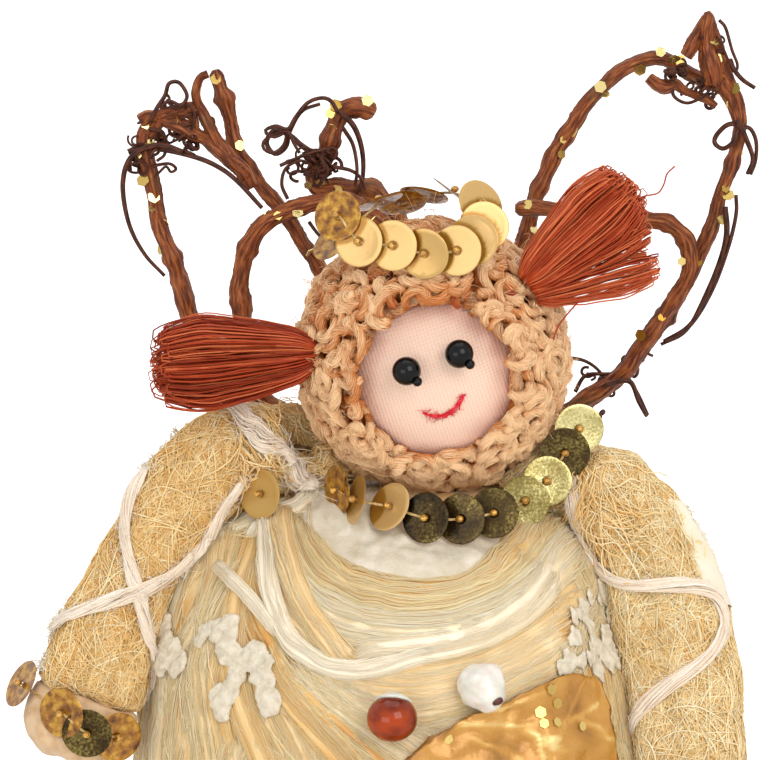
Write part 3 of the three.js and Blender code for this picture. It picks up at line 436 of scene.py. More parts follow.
# How finely a ribbon is streaked along and across, as the scale of its noise
STREAK_PITCHES = (5.5, 0.09, 1)


def rgb(code):
    """A colour written as the eye sees it, as the linear colour that a shader takes."""
    parts = [int(code[i:i + 2], 16) / 255 for i in (0, 2, 4)]
    return (*[p / 12.92 if p <= 0.04045 else ((p + 0.055) / 1.055) ** 2.4 for p in parts], 1)


def node(tree, kind, inputs=None, **settings):
    made = tree.nodes.new("ShaderNode" + kind)
    for key, value in settings.items():
        setattr(made, key, value)
    for key, value in (inputs or {}).items():
        if isinstance(value, bpy.types.NodeSocket):
            tree.links.new(value, made.inputs[key])
        else:
            made.inputs[key].default_value = value
    return made


def figured(tree, operation, *values, clamp=False):
    """A sum, a product or another figure of sockets and numbers."""
    return node(tree, "Math", dict(enumerate(values)), operation=operation, use_clamp=clamp).outputs[0]


def figured_vector(tree, operation, first, second):
    """A figure of two vectors, or of a vector and its scale."""
    other = "Scale" if operation == "SCALE" else 1
    return node(tree, "VectorMath", {0: first, other: second}, operation=operation).outputs[0]


def ramp(tree, factor, *stops):
    made = node(tree, "ValToRGB", {"Fac": factor})
    band = made.color_ramp
    while len(band.elements) < len(stops):
        band.elements.new(0.5)
    for element, (position, code) in zip(band.elements, stops):
        element.position = position
        element.color = rgb(code)
    return made.outputs["Color"]


def value_of(tree, name):
    return node(tree, "Attribute", attribute_name=name).outputs["Fac"]


def noise(tree, place, **sockets):
    return node(tree, "TexNoise", {"Vector": place, **sockets}).outputs["Fac"]


def grain(tree, pitch, detail=2, stretch=(1, 1, 1)):
    """Noise with cells of about a pitch in millimetres, fixed to the object."""
    place = node(tree, "TexCoord").outputs["Object"]
    mapped = node(tree, "Mapping", {"Vector": place, "Scale": stretch}).outputs["Vector"]
    return noise(tree, mapped, Scale=1 / (pitch * MM), Detail=detail)


def strand_grain(tree, pitch_along, pitch_around, detail=2):
    """Noise that streaks along a tube, from its point values."""
    along = node(tree, "CombineXYZ", {"X": value_of(tree, "along"), "Y": 0.0, "Z": 0.0}).outputs[0]
    along = figured_vector(tree, "MULTIPLY", along, (1 / pitch_along, 0, 0))
    angle = value_of(tree, "around")
    wide, high = figured(tree, "COSINE", angle), figured(tree, "SINE", angle)
    circle = node(tree, "CombineXYZ", {"X": 0.0, "Y": wide, "Z": high}).outputs[0]
    circle = figured_vector(tree, "SCALE", circle, 1 / pitch_around)
    return noise(tree, figured_vector(tree, "ADD", along, circle), Scale=1.0, Detail=detail)


def mixed(tree, first, second, factor):
    return node(tree, "MixRGB", {"Fac": factor, "Color1": first, "Color2": second}).outputs["Color"]


def sums(tree, first, second, operation="ADD"):
    return figured(tree, operation, first, second, clamp=True)


def grained(*settings):
    """Noise for a look, as a function of its node tree."""
    return lambda tree: grain(tree, *settings)


def stranded(*settings):
    return lambda tree: strand_grain(tree, *settings)


def own_tone(tree):
    return value_of(tree, "tone")


def graded(source, *stops):
    """A colour that follows a source through its stops of (place, colour)."""
    return lambda tree: ramp(tree, source(tree), *stops)


def make_look(name, colour, roughness=0.5, relief=None, depth=0.05, **sockets):
    """A material. colour, roughness and relief are values, or functions of the node tree."""
    material = bpy.data.materials.new(name)
    material.use_nodes = True
    tree = material.node_tree
    shader = tree.nodes["Principled BSDF"]
    for key, given in (("Base Color", colour), ("Roughness", roughness)):
        if callable(given):
            tree.links.new(given(tree), shader.inputs[key])
        else:
            shader.inputs[key].default_value = rgb(given) if isinstance(given, str) else given
    if relief:
        bump = node(tree, "Bump", {"Height": relief(tree), "Distance": depth * MM, "Strength": 1.0})
        tree.links.new(bump.outputs["Normal"], shader.inputs["Normal"])
    for key, value in sockets.items():
        shader.inputs[key.replace("_", " ")].default_value = value
    LOOKS[name] = material


def fibre_look(name, dark, middle, light, roughness=0.5, spread=0.35, **sockets):
    """A fibre whose colour follows its tone, a little unevenly."""
    def colour(tree):
        uneven = figured(tree, "ADD", grain(tree, 1.4, 3), -0.5)
        uneven = figured(tree, "MULTIPLY", uneven, spread)
        return ramp(tree, sums(tree, own_tone(tree), uneven), (0.0, dark), (0.5, middle), (1.0, light))
    make_look(name, colour, roughness, **sockets)


def streaks(tree):
    """Fine streaks that run along a ribbon, from its point values."""
    place = node(tree, "CombineXYZ",
                 {"X": value_of(tree, "across"), "Y": value_of(tree, "along"), "Z": 0.0})
    place = figured_vector(tree, "MULTIPLY", place.outputs[0], STREAK_PITCHES)
    return noise(tree, place, Scale=1.0, Detail=5.0, Roughness=0.62)


def satin_tone(tree):
    """A ribbon's tone, with its painted shade, its streaks and slow clouds."""
    fine = figured(tree, "MULTIPLY", streaks(tree), 0.6)
    slow = figured(tree, "MULTIPLY", grain(tree, 6, 2), 0.35)
    total = figured(tree, "ADD", figured(tree, "ADD", fine, slow), -0.47)
    return sums(tree, total, own_tone(tree))


def blotched(tree):
    """Fine specks inside slow blotches, added to a sequin's own tone."""
    return sums(tree, sums(tree, grain(tree, 0.3, 6), grain(tree, 3.5, 2), "MULTIPLY"), own_tone(tree))


def bark_colour(tree):
    """Streaked bark with patches of grey green."""
    streaked = ramp(tree, strand_grain(tree, 2.2, 0.34, 7), (0.3, "30160b"), (0.43, "6b3318"),
                    (0.57, "9a5228"), (0.75, "bd8048"))
    return mixed(tree, streaked, rgb("5c5a38"),
                 ramp(tree, grain(tree, 5, 4), (0.58, "000000"), (0.72, "999999")))


def clouded_tone(tree):
    return sums(tree, grain(tree, 5, 4), own_tone(tree))


def knit(tree):
    """Ribs of stitches, each leaning with the curve of its rib, with fuzz over them."""
    rib = figured(tree, "MULTIPLY", value_of(tree, "knit_across"), TURN / 2 / KNIT_RIB)
    rib = figured(tree, "ABSOLUTE", figured(tree, "SINE", rib))
    course = figured(tree, "MULTIPLY", value_of(tree, "knit_up"), TURN / KNIT_COURSE)
    course = figured(tree, "ADD", course, figured(tree, "MULTIPLY", rib, 2.2))
    course = figured(tree, "MULTIPLY", figured(tree, "SINE", course), 0.3)
    fuzz = figured(tree, "MULTIPLY", grain(tree, 0.25, 4), 0.7)
    return figured(tree, "ADD", figured(tree, "ADD", rib, course), fuzz)


def jersey_colour(tree):
    """The knit's own colour, with a blush towards the edge of the face."""
    base = ramp(tree, knit(tree), (0.1, "ecbfa4"), (1.0, "f6d4be"))
    edge = sums(tree, value_of(tree, "blush"), grain(tree, 2.5, 3), "MULTIPLY")
    return mixed(tree, base, rgb("f59a8a"), edge)


def make_looks():
    """Every look: its colour, roughness, relief and the relief's depth, and other sockets."""
    fibre_look("sisal_fibre", "e6b05c", "fbd998", "fff2ca", 0.6)
    make_look("sisal_mat", graded(grained(1.6, 5), (0.3, "eaa850"), (0.5, "f8ce86"), (0.7, "fee6b2")), 0.85,
              grained(0.5, 5, (1, 1, 0.4)), 0.12, Subsurface_Weight=0.25, Subsurface_Scale=1.5 * MM)
    fibre_look("floss_fibre", "dfa54c", "f3d9a2", "fcf0d8", 0.4, 0.25, Subsurface_Weight=0.1,
               Subsurface_Scale=0.5 * MM)
    make_look("floss_mat",
              graded(grained(4.0, 4, (1, 1, 0.5)), (0.3, "e0ad5c"), (0.5, "f0d095"), (0.7, "f7e3b8")),
              0.5, grained(0.35, 4, (0.5, 0.5, 2)), 0.15, Sheen_Weight=0.2)
    make_look("floss_satin", graded(satin_tone, (0.1, "cd8630"), (0.32, "e4b66c"), (0.58, "f0d5a4"),
                                    (0.88, "f9ecd4")),
              graded(streaks, (0.3, "606060"), (0.7, "9a9a9a")), streaks, 0.03)
    make_look("wadding", graded(grained(2.2, 5), (0.3, "cfc2a6"), (0.65, "e6dcc8")),
              graded(grained(0.5, 3), (0.3, "505050"), (0.7, "a0a0a0")), grained(1.8, 6), 0.18)
    make_look("fringe", graded(own_tone, (0.0, "e6d3b2"), (1.0, "f8f0e0")), 0.7, Sheen_Weight=0.3)
    make_look("felt", graded(grained(1.2, 4), (0.3, "cfa478"), (0.6, "dfbe94")), 0.75, grained(0.3, 5), 0.1,
              Sheen_Weight=0.3)
    make_look("cotton", graded(grained(0.9, 4), (0.3, "cfc1a6"), (0.6, "e4d9c4")), 0.75, grained(0.35, 5),
              0.15, Subsurface_Weight=0.1, Subsurface_Scale=0.6 * MM)
    fibre_look("yarn_fibre", "e0c19e", "f5e4ce", "fdf4e8", 0.7, 0.3)
    fibre_look("curl_fibre", "bc520f", "df904a", "ffd6a4", 0.34, 0.25)
    # The hair cap's dark orange is painted shade, for the depths between the curls.
    make_look("curl_cap", graded(grained(1.5, 4), (0.3, "b8540f"), (0.6, "d98438")), 0.7,
              grained(0.4, 4), 0.2)
    fibre_look("pigtail_fibre", "7c240c", "b03e18", "dc7545", 0.42, 0.3, Specular_IOR_Level=0.25)
    make_look("jersey", jersey_colour, 0.85, knit, 0.036, Sheen_Weight=0.3, Subsurface_Weight=0.12,
              Subsurface_Scale=0.8 * MM)
    make_look("eye", "050506", 0.2, grained(0.6, 2), 0.008, Specular_IOR_Level=0.25)
    fibre_look("mouth", "b00212", "d80c24", "f0485a", 0.85)
    make_look("sequin_gold",
              graded(own_tone, (0.0, "4a2804"), (0.3, "9c6614"), (0.6, "b58e42"), (1.0, "d2ab6c")),
              graded(grained(0.2, 3), (0.3, "686868"), (0.7, "868686")), grained(0.9, 3), 0.02,
              Metallic=0.3, Specular_IOR_Level=0.4)
    # The dark sequins run from near black to pale gold with their tone and specks: partly their own
    # speckled olive colour, partly painted reflection of dark surroundings and of gold glints.
    make_look("sequin_dark",
              graded(blotched, (0.2, "1b1207"), (0.38, "4a3a19"), (0.6, "948448"), (0.8, "dbcf92")), 0.26,
              grained(0.35, 4), 0.03, Metallic=0.75)
    make_look("sequin_amber",
              graded(grained(0.9, 5), (0.3, "5c2f04"), (0.48, "a06812"), (0.68, "d0a036")), 0.16,
              grained(0.8, 4), 0.12, Metallic=0.3, Coat_Weight=0.4)
    make_look("seed_bead", graded(grained(0.5, 2), (0.35, "8f5a12"), (0.65, "e0ab47")), 0.12, Metallic=0.35,
              Coat_Weight=0.5)
    make_look("thread", graded(grained(0.4), (0.3, "a67c38"), (0.7, "e2c88c")), 0.5)
    make_look("bark", bark_colour, 0.42, stranded(1.5, 0.22, 7), 0.3, Specular_IOR_Level=0.25)
    make_look("tendril", graded(stranded(1.2, 0.8, 3), (0.3, "1d0f0a"), (0.7, "683622")), 0.5,
              stranded(0.8, 0.6, 3), 0.05, Specular_IOR_Level=0.25)
    make_look("flake",
              graded(own_tone, (0.0, "5d6b33"), (0.3, "a97f2d"), (0.6, "e3c676"), (1.0, "eedd9e")), 0.22,
              grained(0.6, 2), 0.02, Metallic=0.8)
    make_look("glue", graded(grained(3, 3), (0.3, "d9c69a"), (0.7, "efe6cd")), 0.25, grained(1.5, 4), 0.3,
              Subsurface_Weight=0.3, Subsurface_Scale=2 * MM)
    make_look("foil",
              graded(clouded_tone, (0.3, "956528"), (0.5, "bc8438"), (0.75, "d29c4c"), (1.0, "e8c880")),
              graded(grained(1.2, 4), (0.3, "808080"), (0.7, "9c9c9c")), grained(1.0, 7, (1, 1, 0.6)),
              0.08, Metallic=0.2)
    make_look("amber", graded(grained(3, 3), (0.35, "661a02"), (0.65, "a83c06")), 0.08, grained(2, 1), 0.01,
              Specular_IOR_Level=0.25, Coat_Weight=0.12)
    make_look("berry", graded(grained(1.6, 4), (0.3, "d6d0c2"), (0.6, "ece9e0")), 0.3, grained(1.1, 4),
              0.15, Subsurface_Weight=0.5, Subsurface_Scale=1.5 * MM)
    make_look("seed", graded(grained(0.5, 3), (0.3, "2d0f07"), (0.7, "6e2f18")), 0.45, grained(0.3), 0.05)
    make_look("card", graded(grained(0.8, 5), (0.3, "a48a60"), (0.7, "c8b089")), 0.85,
              grained(0.3, 4), 0.05)
    make_look("foam", graded(grained(2, 3), (0.3, "e6e2d8"), (0.7, "f8f6f0")), 0.85, grained(1.5, 2), 0.15)
    make_look("bamboo", graded(grained(0.6, 4, (1, 1, 0.1)), (0.3, "bb9558"), (0.7, "e0c48d")), 0.6,
              grained(0.3, 3), 0.05)
    make_look("wire", graded(grained(0.6), (0.3, "857b6c"), (0.7, "b0a796")), 0.35, grained(0.3), 0.01,
              Metallic=0.9)


make_looks()

# The body's skin: a fine, smooth and folded copy of the gown and bodice solids

# How far from the axis the rays start that find the solids, and where the first row is above the hem
SKIN_REACH = 90
SKIN_LIFT = 0.1
SKIN_ROWS = 90
# From the dome's height up, the rays lean upward from it
DOME_ROWS = 60
DOME_HEIGHT = 70
DOME_TOP = math.radians(84)
SKIN_TURNS = 180
SKIN_SMOOTH = 3
# Folds: [height, how much their pattern changes up the body, pitch, seed]
SKIN_FOLDS = [(0.45, 0.35, 9, 3), (0.2, 1, 3, 4)]
# Rings that tuck the hem under: [how far in, how far up]
HEM_RADIUS = 40
HEM_TUCKS = [(2.2, 0.9), (1, 0)]


def round_body(turn, reach, height):
    """Places round the body's axis, with turns counted from the front."""
    return np.stack([np.sin(turn) * reach, -np.cos(turn) * reach, height], axis=-1)


def skin_grid():
    """Rows of points round the body from its hem to its neck."""
    tree = cad_tree("gown", "bodice_wrap")
    hem = cad_box("gown")[0][2]
    rows = [(z, 0.0) for z in np.linspace(hem + SKIN_LIFT, DOME_HEIGHT, SKIN_ROWS, endpoint=False)]
    rows += [(DOME_HEIGHT, tilt) for tilt in np.linspace(0, DOME_TOP, DOME_ROWS)]
    turns = round_of(SKIN_TURNS)
    ways = round_body(turns, 1, np.zeros_like(turns))
    radii = np.zeros((len(rows), len(turns)))
    for i, (z, tilt) in enumerate(rows):
        for j, way in enumerate(ways):
            way = way * math.cos(tilt) + SKYWARD * math.sin(tilt)
            start = z * SKYWARD + way * SKIN_REACH
            distance = tree.ray_cast(Vector(start), Vector(-way))[3]
            radii[i, j] = radii[i - 1, j] if distance is None else SKIN_REACH - distance
    for _ in range(SKIN_SMOOTH):
        radii = (np.roll(radii, 1, axis=1) + 2 * radii + np.roll(radii, -1, axis=1)) / 4
        radii[1:-1] = (radii[:-2] + 2 * radii[1:-1] + radii[2:]) / 4
    points = np.zeros((len(rows), len(turns), 3))
    for i, (z, tilt) in enumerate(rows):
        points[i] = z * SKYWARD + radii[i][:, None] * (ways * math.cos(tilt) + SKYWARD * math.sin(tilt))
    outward = unit(points * np.array([1, 1, 0.2]) - np.array([0, 0, 10]))
    folds = sum(height * ripple(points * np.array([1, 1, squash]), pitch, seed)
                for height, squash, pitch, seed in SKIN_FOLDS)
    return points + outward * folds[..., None]


SKIN = skin_grid()
SKIN_INDEX, SKIN_RIGHT = index_grid(*SKIN.shape[:2])
BODY_FACES = quads_of(SKIN_INDEX[:-1], SKIN_RIGHT[:-1], SKIN_RIGHT[1:], SKIN_INDEX[1:])
BODY = tree_of(SKIN.reshape(-1, 3), BODY_FACES.tolist())
WRAP_LOW = cad_box("bodice_wrap")[0][2]


def make_skin():
    """The gown's cloth with its hem tucked in, and the bodice above it."""
    level = SKIN[:, :, 2].mean(axis=1)
    split = int(np.searchsorted(level, WRAP_LOW))
    tucks = [SKIN[0] * np.array([1 - tuck / HEM_RADIUS, 1 - tuck / HEM_RADIUS, 1]) + rise * SKYWARD
             for tuck, rise in HEM_TUCKS]
    gown = grid_mesh("gown_skin", np.concatenate([np.array(tucks), SKIN[:split + 3]]), wrap=True)
    gown_piece = add_piece("gown_skin", gown, "sisal_mat", ["gown"])
    bodice = grid_mesh("bodice_skin", SKIN[split:], wrap=True)
    bodice_piece = add_piece("bodice_skin", bodice, "floss_mat", ["bodice_wrap"])


make_skin()

# Fibres that lie on a surface. Each kind: steps along a fibre, the length of a step,
# how much it curls, how far it may stand off, and its least and greatest radius.
FIBRE_KINDS = {
    "body": (18, 1.5, 0.02, 0.3, 0.05, 0.12), "fleece": (12, 1.0, 0.16, 0.5, 0.05, 0.11),
    "sleeve": (17, 0.9, 0.09, 0.34, 0.04, 0.1), "shoulder": (15, 0.62, 0.07, 1.1, 0.05, 0.1),
}
LEAST_RISE = 0.05


def wandering(kind, tree, starts, ways, rng):
    """Fibres that run over a surface from their starts, curving as they go."""
    steps, step, curl, lift, _, _ = FIBRE_KINDS[kind]
    paths = np.zeros((len(starts), steps, 3))
    for k, (place, way) in enumerate(zip(starts, ways)):
        bend = rng.normal(0, curl)
        rise = rng.uniform(LEAST_RISE, lift)
        hump = rng.uniform(0, TURN)
        for i in range(steps):
            near, normal, _, _ = tree.find_nearest(Vector(place))
            normal = np.array(normal)
            swell = 1 + 0.6 * math.sin(hump + 2.5 * i / steps * math.pi)
            paths[k, i] = np.array(near) + normal * rise * swell
            way = way - normal * (way @ normal)
            way = unit(way + np.cross(normal, way) * (bend + rng.normal(0, curl / 2)))
            place = np.array(near) + way * step
    return paths


def lay_fibres(name, kind, paths, look, tone, spread, rng):
    """Fibres of uneven radius and tone along their paths."""
    sizes = rng.uniform(*FIBRE_KINDS[kind][4:], len(paths))
    tones = np.clip(rng.normal(tone, spread, len(paths)), 0, 1)
    add_tubes(name, paths, sizes, 3, look, tones)


# Bodice: puffed wadding under the necklace, floss swept across the chest, and ribbons.
# Each line is in photograph pixels.
WADDING_TOP = [(296, 494), (335, 486), (380, 490), (425, 502), (470, 506), (505, 498)]
WADDING_BOTTOM = [(300, 552), (335, 570), (380, 580), (425, 584), (466, 574), (500, 548)]
# Sweeps: [upper edge, lower edge, lift, tone, painted shade at the upper edge, where it goes under what
# lies above it]
SWEEPS = [
    ([(283, 575), (330, 622), (392, 640), (470, 634), (540, 592), (590, 540)],
     [(262, 672), (318, 722), (392, 746), (470, 730), (566, 688), (622, 620)], 0.35, 0.56, 0.1),
    ([(296, 560), (336, 590), (392, 604), (464, 598), (520, 566), (560, 520)],
     [(290, 600), (330, 640), (392, 655), (470, 648), (540, 612), (592, 560)], 0.75, 0.66, 0.02),
    ([(318, 536), (340, 558), (370, 572), (418, 580), (465, 573), (495, 548), (514, 520)],
     [(286, 505), (292, 560), (332, 600), (392, 617), (464, 610), (522, 578), (568, 522)], 0.95, 0.44,
     0.16)]
# Ribbons: [line, width, lift, tone]. The tone is the floss's own colour, and lower where it is painted
# shade, as on the first and ninth ribbons
RIBBONS = [
    ([(246, 548), (250, 580), (262, 620), (286, 668), (330, 712), (372, 750), (410, 790)], 5.5, 0.25,
     0.24),
    ([(232, 520), (220, 570), (203, 620), (196, 668), (200, 712), (207, 756), (212, 800)], 5.2, 0.35,
     0.5),
    ([(258, 530), (246, 570), (236, 610), (232, 660), (242, 705), (262, 756), (276, 800)], 4.4, 0.5,
     0.42),
    ([(208, 600), (192, 640), (180, 690), (176, 756), (176, 800)], 5.0, 0.2, 0.4),
    ([(300, 650), (330, 690), (372, 722), (420, 752), (460, 790)], 6.0, 0.35, 0.62),
    ([(262, 640), (285, 690), (318, 730), (345, 760), (372, 800)], 4.6, 0.45, 0.34),
    ([(556, 560), (530, 600), (480, 632), (420, 648), (352, 656)], 4.8, 1.0, 0.8),
    ([(604, 540), (598, 590), (580, 640), (560, 676)], 5.0, 0.45, 0.66),
    ([(628, 560), (618, 620), (612, 690), (616, 800)], 4.6, 0.25, 0.3),
    ([(158, 640), (150, 690), (148, 740), (148, 800)], 5.0, 0.2, 0.38),
    ([(222, 650), (218, 700), (226, 750), (236, 800)], 4.8, 0.3, 0.36),
    ([(262, 660), (276, 710), (298, 756), (322, 800)], 5.0, 0.3, 0.5),
    ([(330, 716), (362, 742), (400, 770), (440, 800)], 6.0, 0.3, 0.5),
    ([(420, 735), (480, 745), (540, 740), (600, 720)], 6.0, 0.2, 0.5),
    ([(280, 505), (283, 540), (291, 572), (306, 606), (330, 642), (350, 664)], 3.4, 1.2, 0.5),
    ([(268, 500), (268, 559), (271, 591), (281, 622), (294, 645), (317, 661), (349, 671), (379, 668),
      (409, 661), (441, 652)], 2.5, 1.35, 0.92),
    ([(216, 564), (233, 581), (250, 598), (264, 615), (282, 634)], 1.9, 1.4, 0.95),
    ([(262, 470), (250, 482), (238, 496), (226, 508)], 2.2, 1.1, 0.98),
    ([(335, 482), (305, 498), (272, 516), (250, 540)], 2.6, 0.7, 0.86)]
YARN_RIBBON = 10
# Panels: [name, count, first turn and span in degrees, upper heights, sway, tone, tone step, seed]
PANELS = [
    ("floss_panel", 15, 62, 236, (97, 88, 76, 64), 0.04, 0.44, 0.09, 300),
    ("floss_front", 9, -60, 120, (76, 70, 64, 58), 0.03, 0.42, 0.08, 330),
]
# Panels end at this height, or up to three steps above it
PANEL_LOW = 51.5
PANEL_LOW_STEP = 1.3
PANEL_LIFT = 0.3
PANEL_STRANDS = 90
# How wide a panel is at these heights
PANEL_HEIGHTS, PANEL_WIDTHS = [54, 80, 97], [15, 12, 4.5]
# How far the body reaches from its axis, at these heights
BODY_HEIGHTS, BODY_REACHES = [50, 80, 93, 100], [35, 30, 22, 10]
SWEEP_STRANDS = 110
RIBBON_STRANDS = 10
# Satin: points along and across, how often it is smoothed, the height of its folds, how far its
# edges go in, and how much further along the streaks of each seed start
SATIN_ROWS = 44
SATIN_COLUMNS = 26
SATIN_PASSES = 3
SATIN_FOLD = 0.16
SATIN_TUCK = 0.12
SATIN_RUN = 31.7
ACROSS_PASSES = 12


def arched(share):
    """A ribbon's height across its width: flat in the middle and rounded down at its edges."""
    return np.clip(1 - (2 * share - 1) ** 2, 0, 1) ** 0.45


def satin(name, first, last, lift, tone, strands, seed, edge_shade=0.0, replaces=()):
    """A ribbon of floss between two edges: a smooth streaked sheet, with loose strands over it."""
    rng = np.random.default_rng(seed)
    share = np.linspace(0, 1, SATIN_COLUMNS)
    flat = first[:, None] * (1 - share[:, None]) + last[:, None] * share[:, None]
    crown = arched(share)
    steps = len(first)
    ends = np.clip(from_ends(steps) / 4, 0, 1) ** 0.5
    fold = SATIN_FOLD * ripple(np.stack([share * 40, share * 0, share * 0], axis=1), 7, seed + 1)
    rise = (lift * crown + fold * crown) * ends[:, None] - SATIN_TUCK * (1 - crown * ends[:, None])
    points = evened(draped(BODY, flat, rise), SATIN_PASSES)
    wide = np.linalg.norm(last - first, axis=1).mean()
    run = np.cumsum(np.linalg.norm(np.diff(flat, axis=0, prepend=flat[:1]), axis=2), axis=0)
    # Painted shade: darker at the rounded edges, and darker still along the first edge by the given amount.
    tones = tone - edge_shade * np.exp(-(share / 0.4) ** 2) - 0.2 * (1 - crown) + 0 * rise
    values = {"tone": tones, "along": run + SATIN_RUN * seed, "across": share * wide + 0 * rise}
    add_piece(name, grid_mesh(name, points, values), "floss_satin", replaces)
    place = rng.uniform(0.03, 0.97, (strands, 1))
    place = place + rng.normal(0, 0.025, (strands, 1)) * np.sin(np.linspace(0, 4, steps) + 6 * place)
    place = np.clip(place, 0.02, 0.98)
    above = lift * arched(place) * ends + rng.uniform(0.03, 0.16, (strands, 1))
    over = draped(BODY, first * (1 - place[..., None]) + last * place[..., None], above)
    light = np.clip(tone + 0.1 + rng.normal(0, 0.1, strands), 0, 1)
    sizes = rng.uniform(0.025, 0.055, (strands, 1)) * np.clip(ends + 0.2, 0, 1)
    add_tubes(name + "_strands", over, sizes, 3, "floss_fibre", light)


def across_line(line):
    """Directions that lie on the body at right angles to a line."""
    normals = evened([normal_at(BODY, point) for point in line], ACROSS_PASSES)
    ways = np.gradient(evened(line, ACROSS_PASSES), axis=0)
    return unit(np.cross(unit(ways), unit(normals)))


def chest_wadding():
    """The puffed white satin that shows above the sweep of floss."""
    rows, columns = 40, 90
    top = seen_line(BODY, WADDING_TOP, columns)
    bottom = seen_line(BODY, WADDING_BOTTOM, columns)
    share = np.linspace(0, 1, rows)[:, None, None]
    flat = top * (1 - share) + bottom * share
    edge = np.sin(np.pi * share[..., 0]) * np.sin(np.pi * np.linspace(0, 1, columns))[None, :]
    edge = np.clip(edge, 0, 1)
    rise = 0.9 * edge ** 0.5 - 0.1 + 0.3 * ripple(flat, 6, 21) * edge + 0.12 * ripple(flat, 2, 22) * edge
    add_piece("chest_wadding", grid_mesh("chest_wadding", draped(BODY, flat, rise)), "wadding")


def body_fibres():
    """Floss and sisal fibres all round the body, long and mostly downward."""
    rng = np.random.default_rng(31)
    count = 3000
    turn = rng.uniform(0, TURN, count)
    height = rng.uniform(1.5, 99, count)
    front = (np.cos(turn) > 0.55) & (height > WRAP_LOW)
    turn, height = turn[~front], height[~front]
    count = len(turn)
    reach = np.interp(height, [0, *BODY_HEIGHTS], [41, *BODY_REACHES])
    lean = rng.normal(0.3, 0.5, count)
    ways = np.stack([np.cos(turn) * lean, np.sin(turn) * lean, -np.ones(count)], axis=1)
    paths = wandering("body", BODY, round_body(turn, reach, height), unit(ways), rng)
    paths[..., 2] = np.maximum(paths[..., 2], 0.5)
    upper = height > WRAP_LOW - 4
    for name, chosen, slot, look in (("bodice_fibres", upper, "floss", "floss_fibre"),
                                     ("gown_fibres", ~upper, "sisal", "sisal_fibre")):
        lay_fibres(name, "body", paths[chosen], look, 0.65, 0.2, rng)


def gown_fleece():
    """Short sisal fibres in every direction over the gown below the bodice."""
    rng = np.random.default_rng(37)
    count = 3200
    turn = rng.uniform(0, TURN, count)
    height = rng.uniform(1.5, WRAP_LOW + 3, count)
    ways = unit(rng.normal(size=(count, 3)) * np.array([1, 1, 1.4]))
    paths = wandering("fleece", BODY, round_body(turn, 38, height), ways, rng)
    paths[..., 2] = np.maximum(paths[..., 2], 0.6)
    lay_fibres("gown_fleece", "fleece", paths, "sisal_fibre", 0.6, 0.24, rng)


def body_panel(name, turn, heights, sway, tone, seed):
    """A broad ribbon of floss that hangs down the bodice."""
    heights = np.array(heights)
    turns = turn + sway * np.array([math.sin(2 * k) for k in range(len(heights))])
    points = round_body(turns, np.interp(heights, BODY_HEIGHTS, BODY_REACHES), heights)
    line = evened(draped(BODY, spline(points, SATIN_ROWS), 0), SATIN_PASSES)
    widths = np.interp(line[:, 2], PANEL_HEIGHTS, PANEL_WIDTHS)[:, None]
    across = across_line(line) * widths / 2
    satin(name, line - across, line + across, PANEL_LIFT, tone, PANEL_STRANDS, seed)


def body_panels():
    """Floss panels down the sides and back, and under the ribbons at the front."""
    for name, count, first, span, heights, sway, tone, tone_step, seed in PANELS:
        for k in range(count):
            low = PANEL_LOW + PANEL_LOW_STEP * (k * 7 % 4)
            turn = math.radians(first + span * k / (count - 1))
            body_panel(f"{name}_{k + 1}", turn, (*heights, low), sway * (-1) ** k,
                       tone + tone_step * (k * 5 % 3), seed + k)


def sweeps():
    """Floss swept across the chest, between two edges."""
    for k, (upper, lower, lift, tone, edge_shade) in enumerate(SWEEPS):
        first, last = (seen_line(BODY, pixels, SATIN_ROWS) for pixels in (upper, lower))
        satin(f"floss_sweep_{k + 1}", first, last, lift, tone, SWEEP_STRANDS, 41 + k, edge_shade)


def ribbons():
    """Narrow satin ribbons along lines of photograph pixels."""
    for k, (pixels, width, lift, tone) in enumerate(RIBBONS):
        line = seen_line(BODY, pixels, SATIN_ROWS)
        across = across_line(line) * width / 2
        named = ["yarn_bodice"] if k == YARN_RIBBON else ()
        satin(f"floss_ribbon_{k + 1}", line - across, line + across, lift, tone,
              int(RIBBON_STRANDS * width), 50 + k, replaces=named)


body_fibres()
gown_fleece()
chest_wadding()
body_panels()
sweeps()
ribbons()

# Sleeves and cuffs

SLEEVE_FIBRES = 3600
# How light the fibres of each sleeve are, as a share of their colours: the left is darker as painted shade,
# the right lighter as painted light, as the light falls from the right
SLEEVE_TONES = {"left": 0.45, "right": 0.66}
# Soft copies: [voxel, puff, pitch of the puffs]
SLEEVE_SOFT = (0.5, 0.4, 5)
CUFF_SOFT = (0.35, 0.25, 4)
# White fleece that stands out of the left sleeve's back: [line in pixels, how many, width]
FRINGES = [
    ([(70, 612), (56, 630), (46, 650), (48, 672)], 500, 1.6),
    ([(176, 430), (158, 450), (146, 474)], 160, 0.9)]
# The white backing at the right sleeve's outer edge, in pixels: where it starts, and beyond the edge
BACKING_INNER = [(664, 500), (676, 524), (690, 550), (699, 575), (704, 606)]
BACKING_OUTER = [(678, 500), (705, 523), (728, 552), (738, 580), (742, 612)]
BACKING_DEPTH = -6
# Loose fibres at the shoulders: [low pixel corner, high pixel corner, how many, direction in the picture]
SHOULDERS = [((236, 408), (296, 486), 360, -50), ((572, 462), (604, 530), 160, -70)]


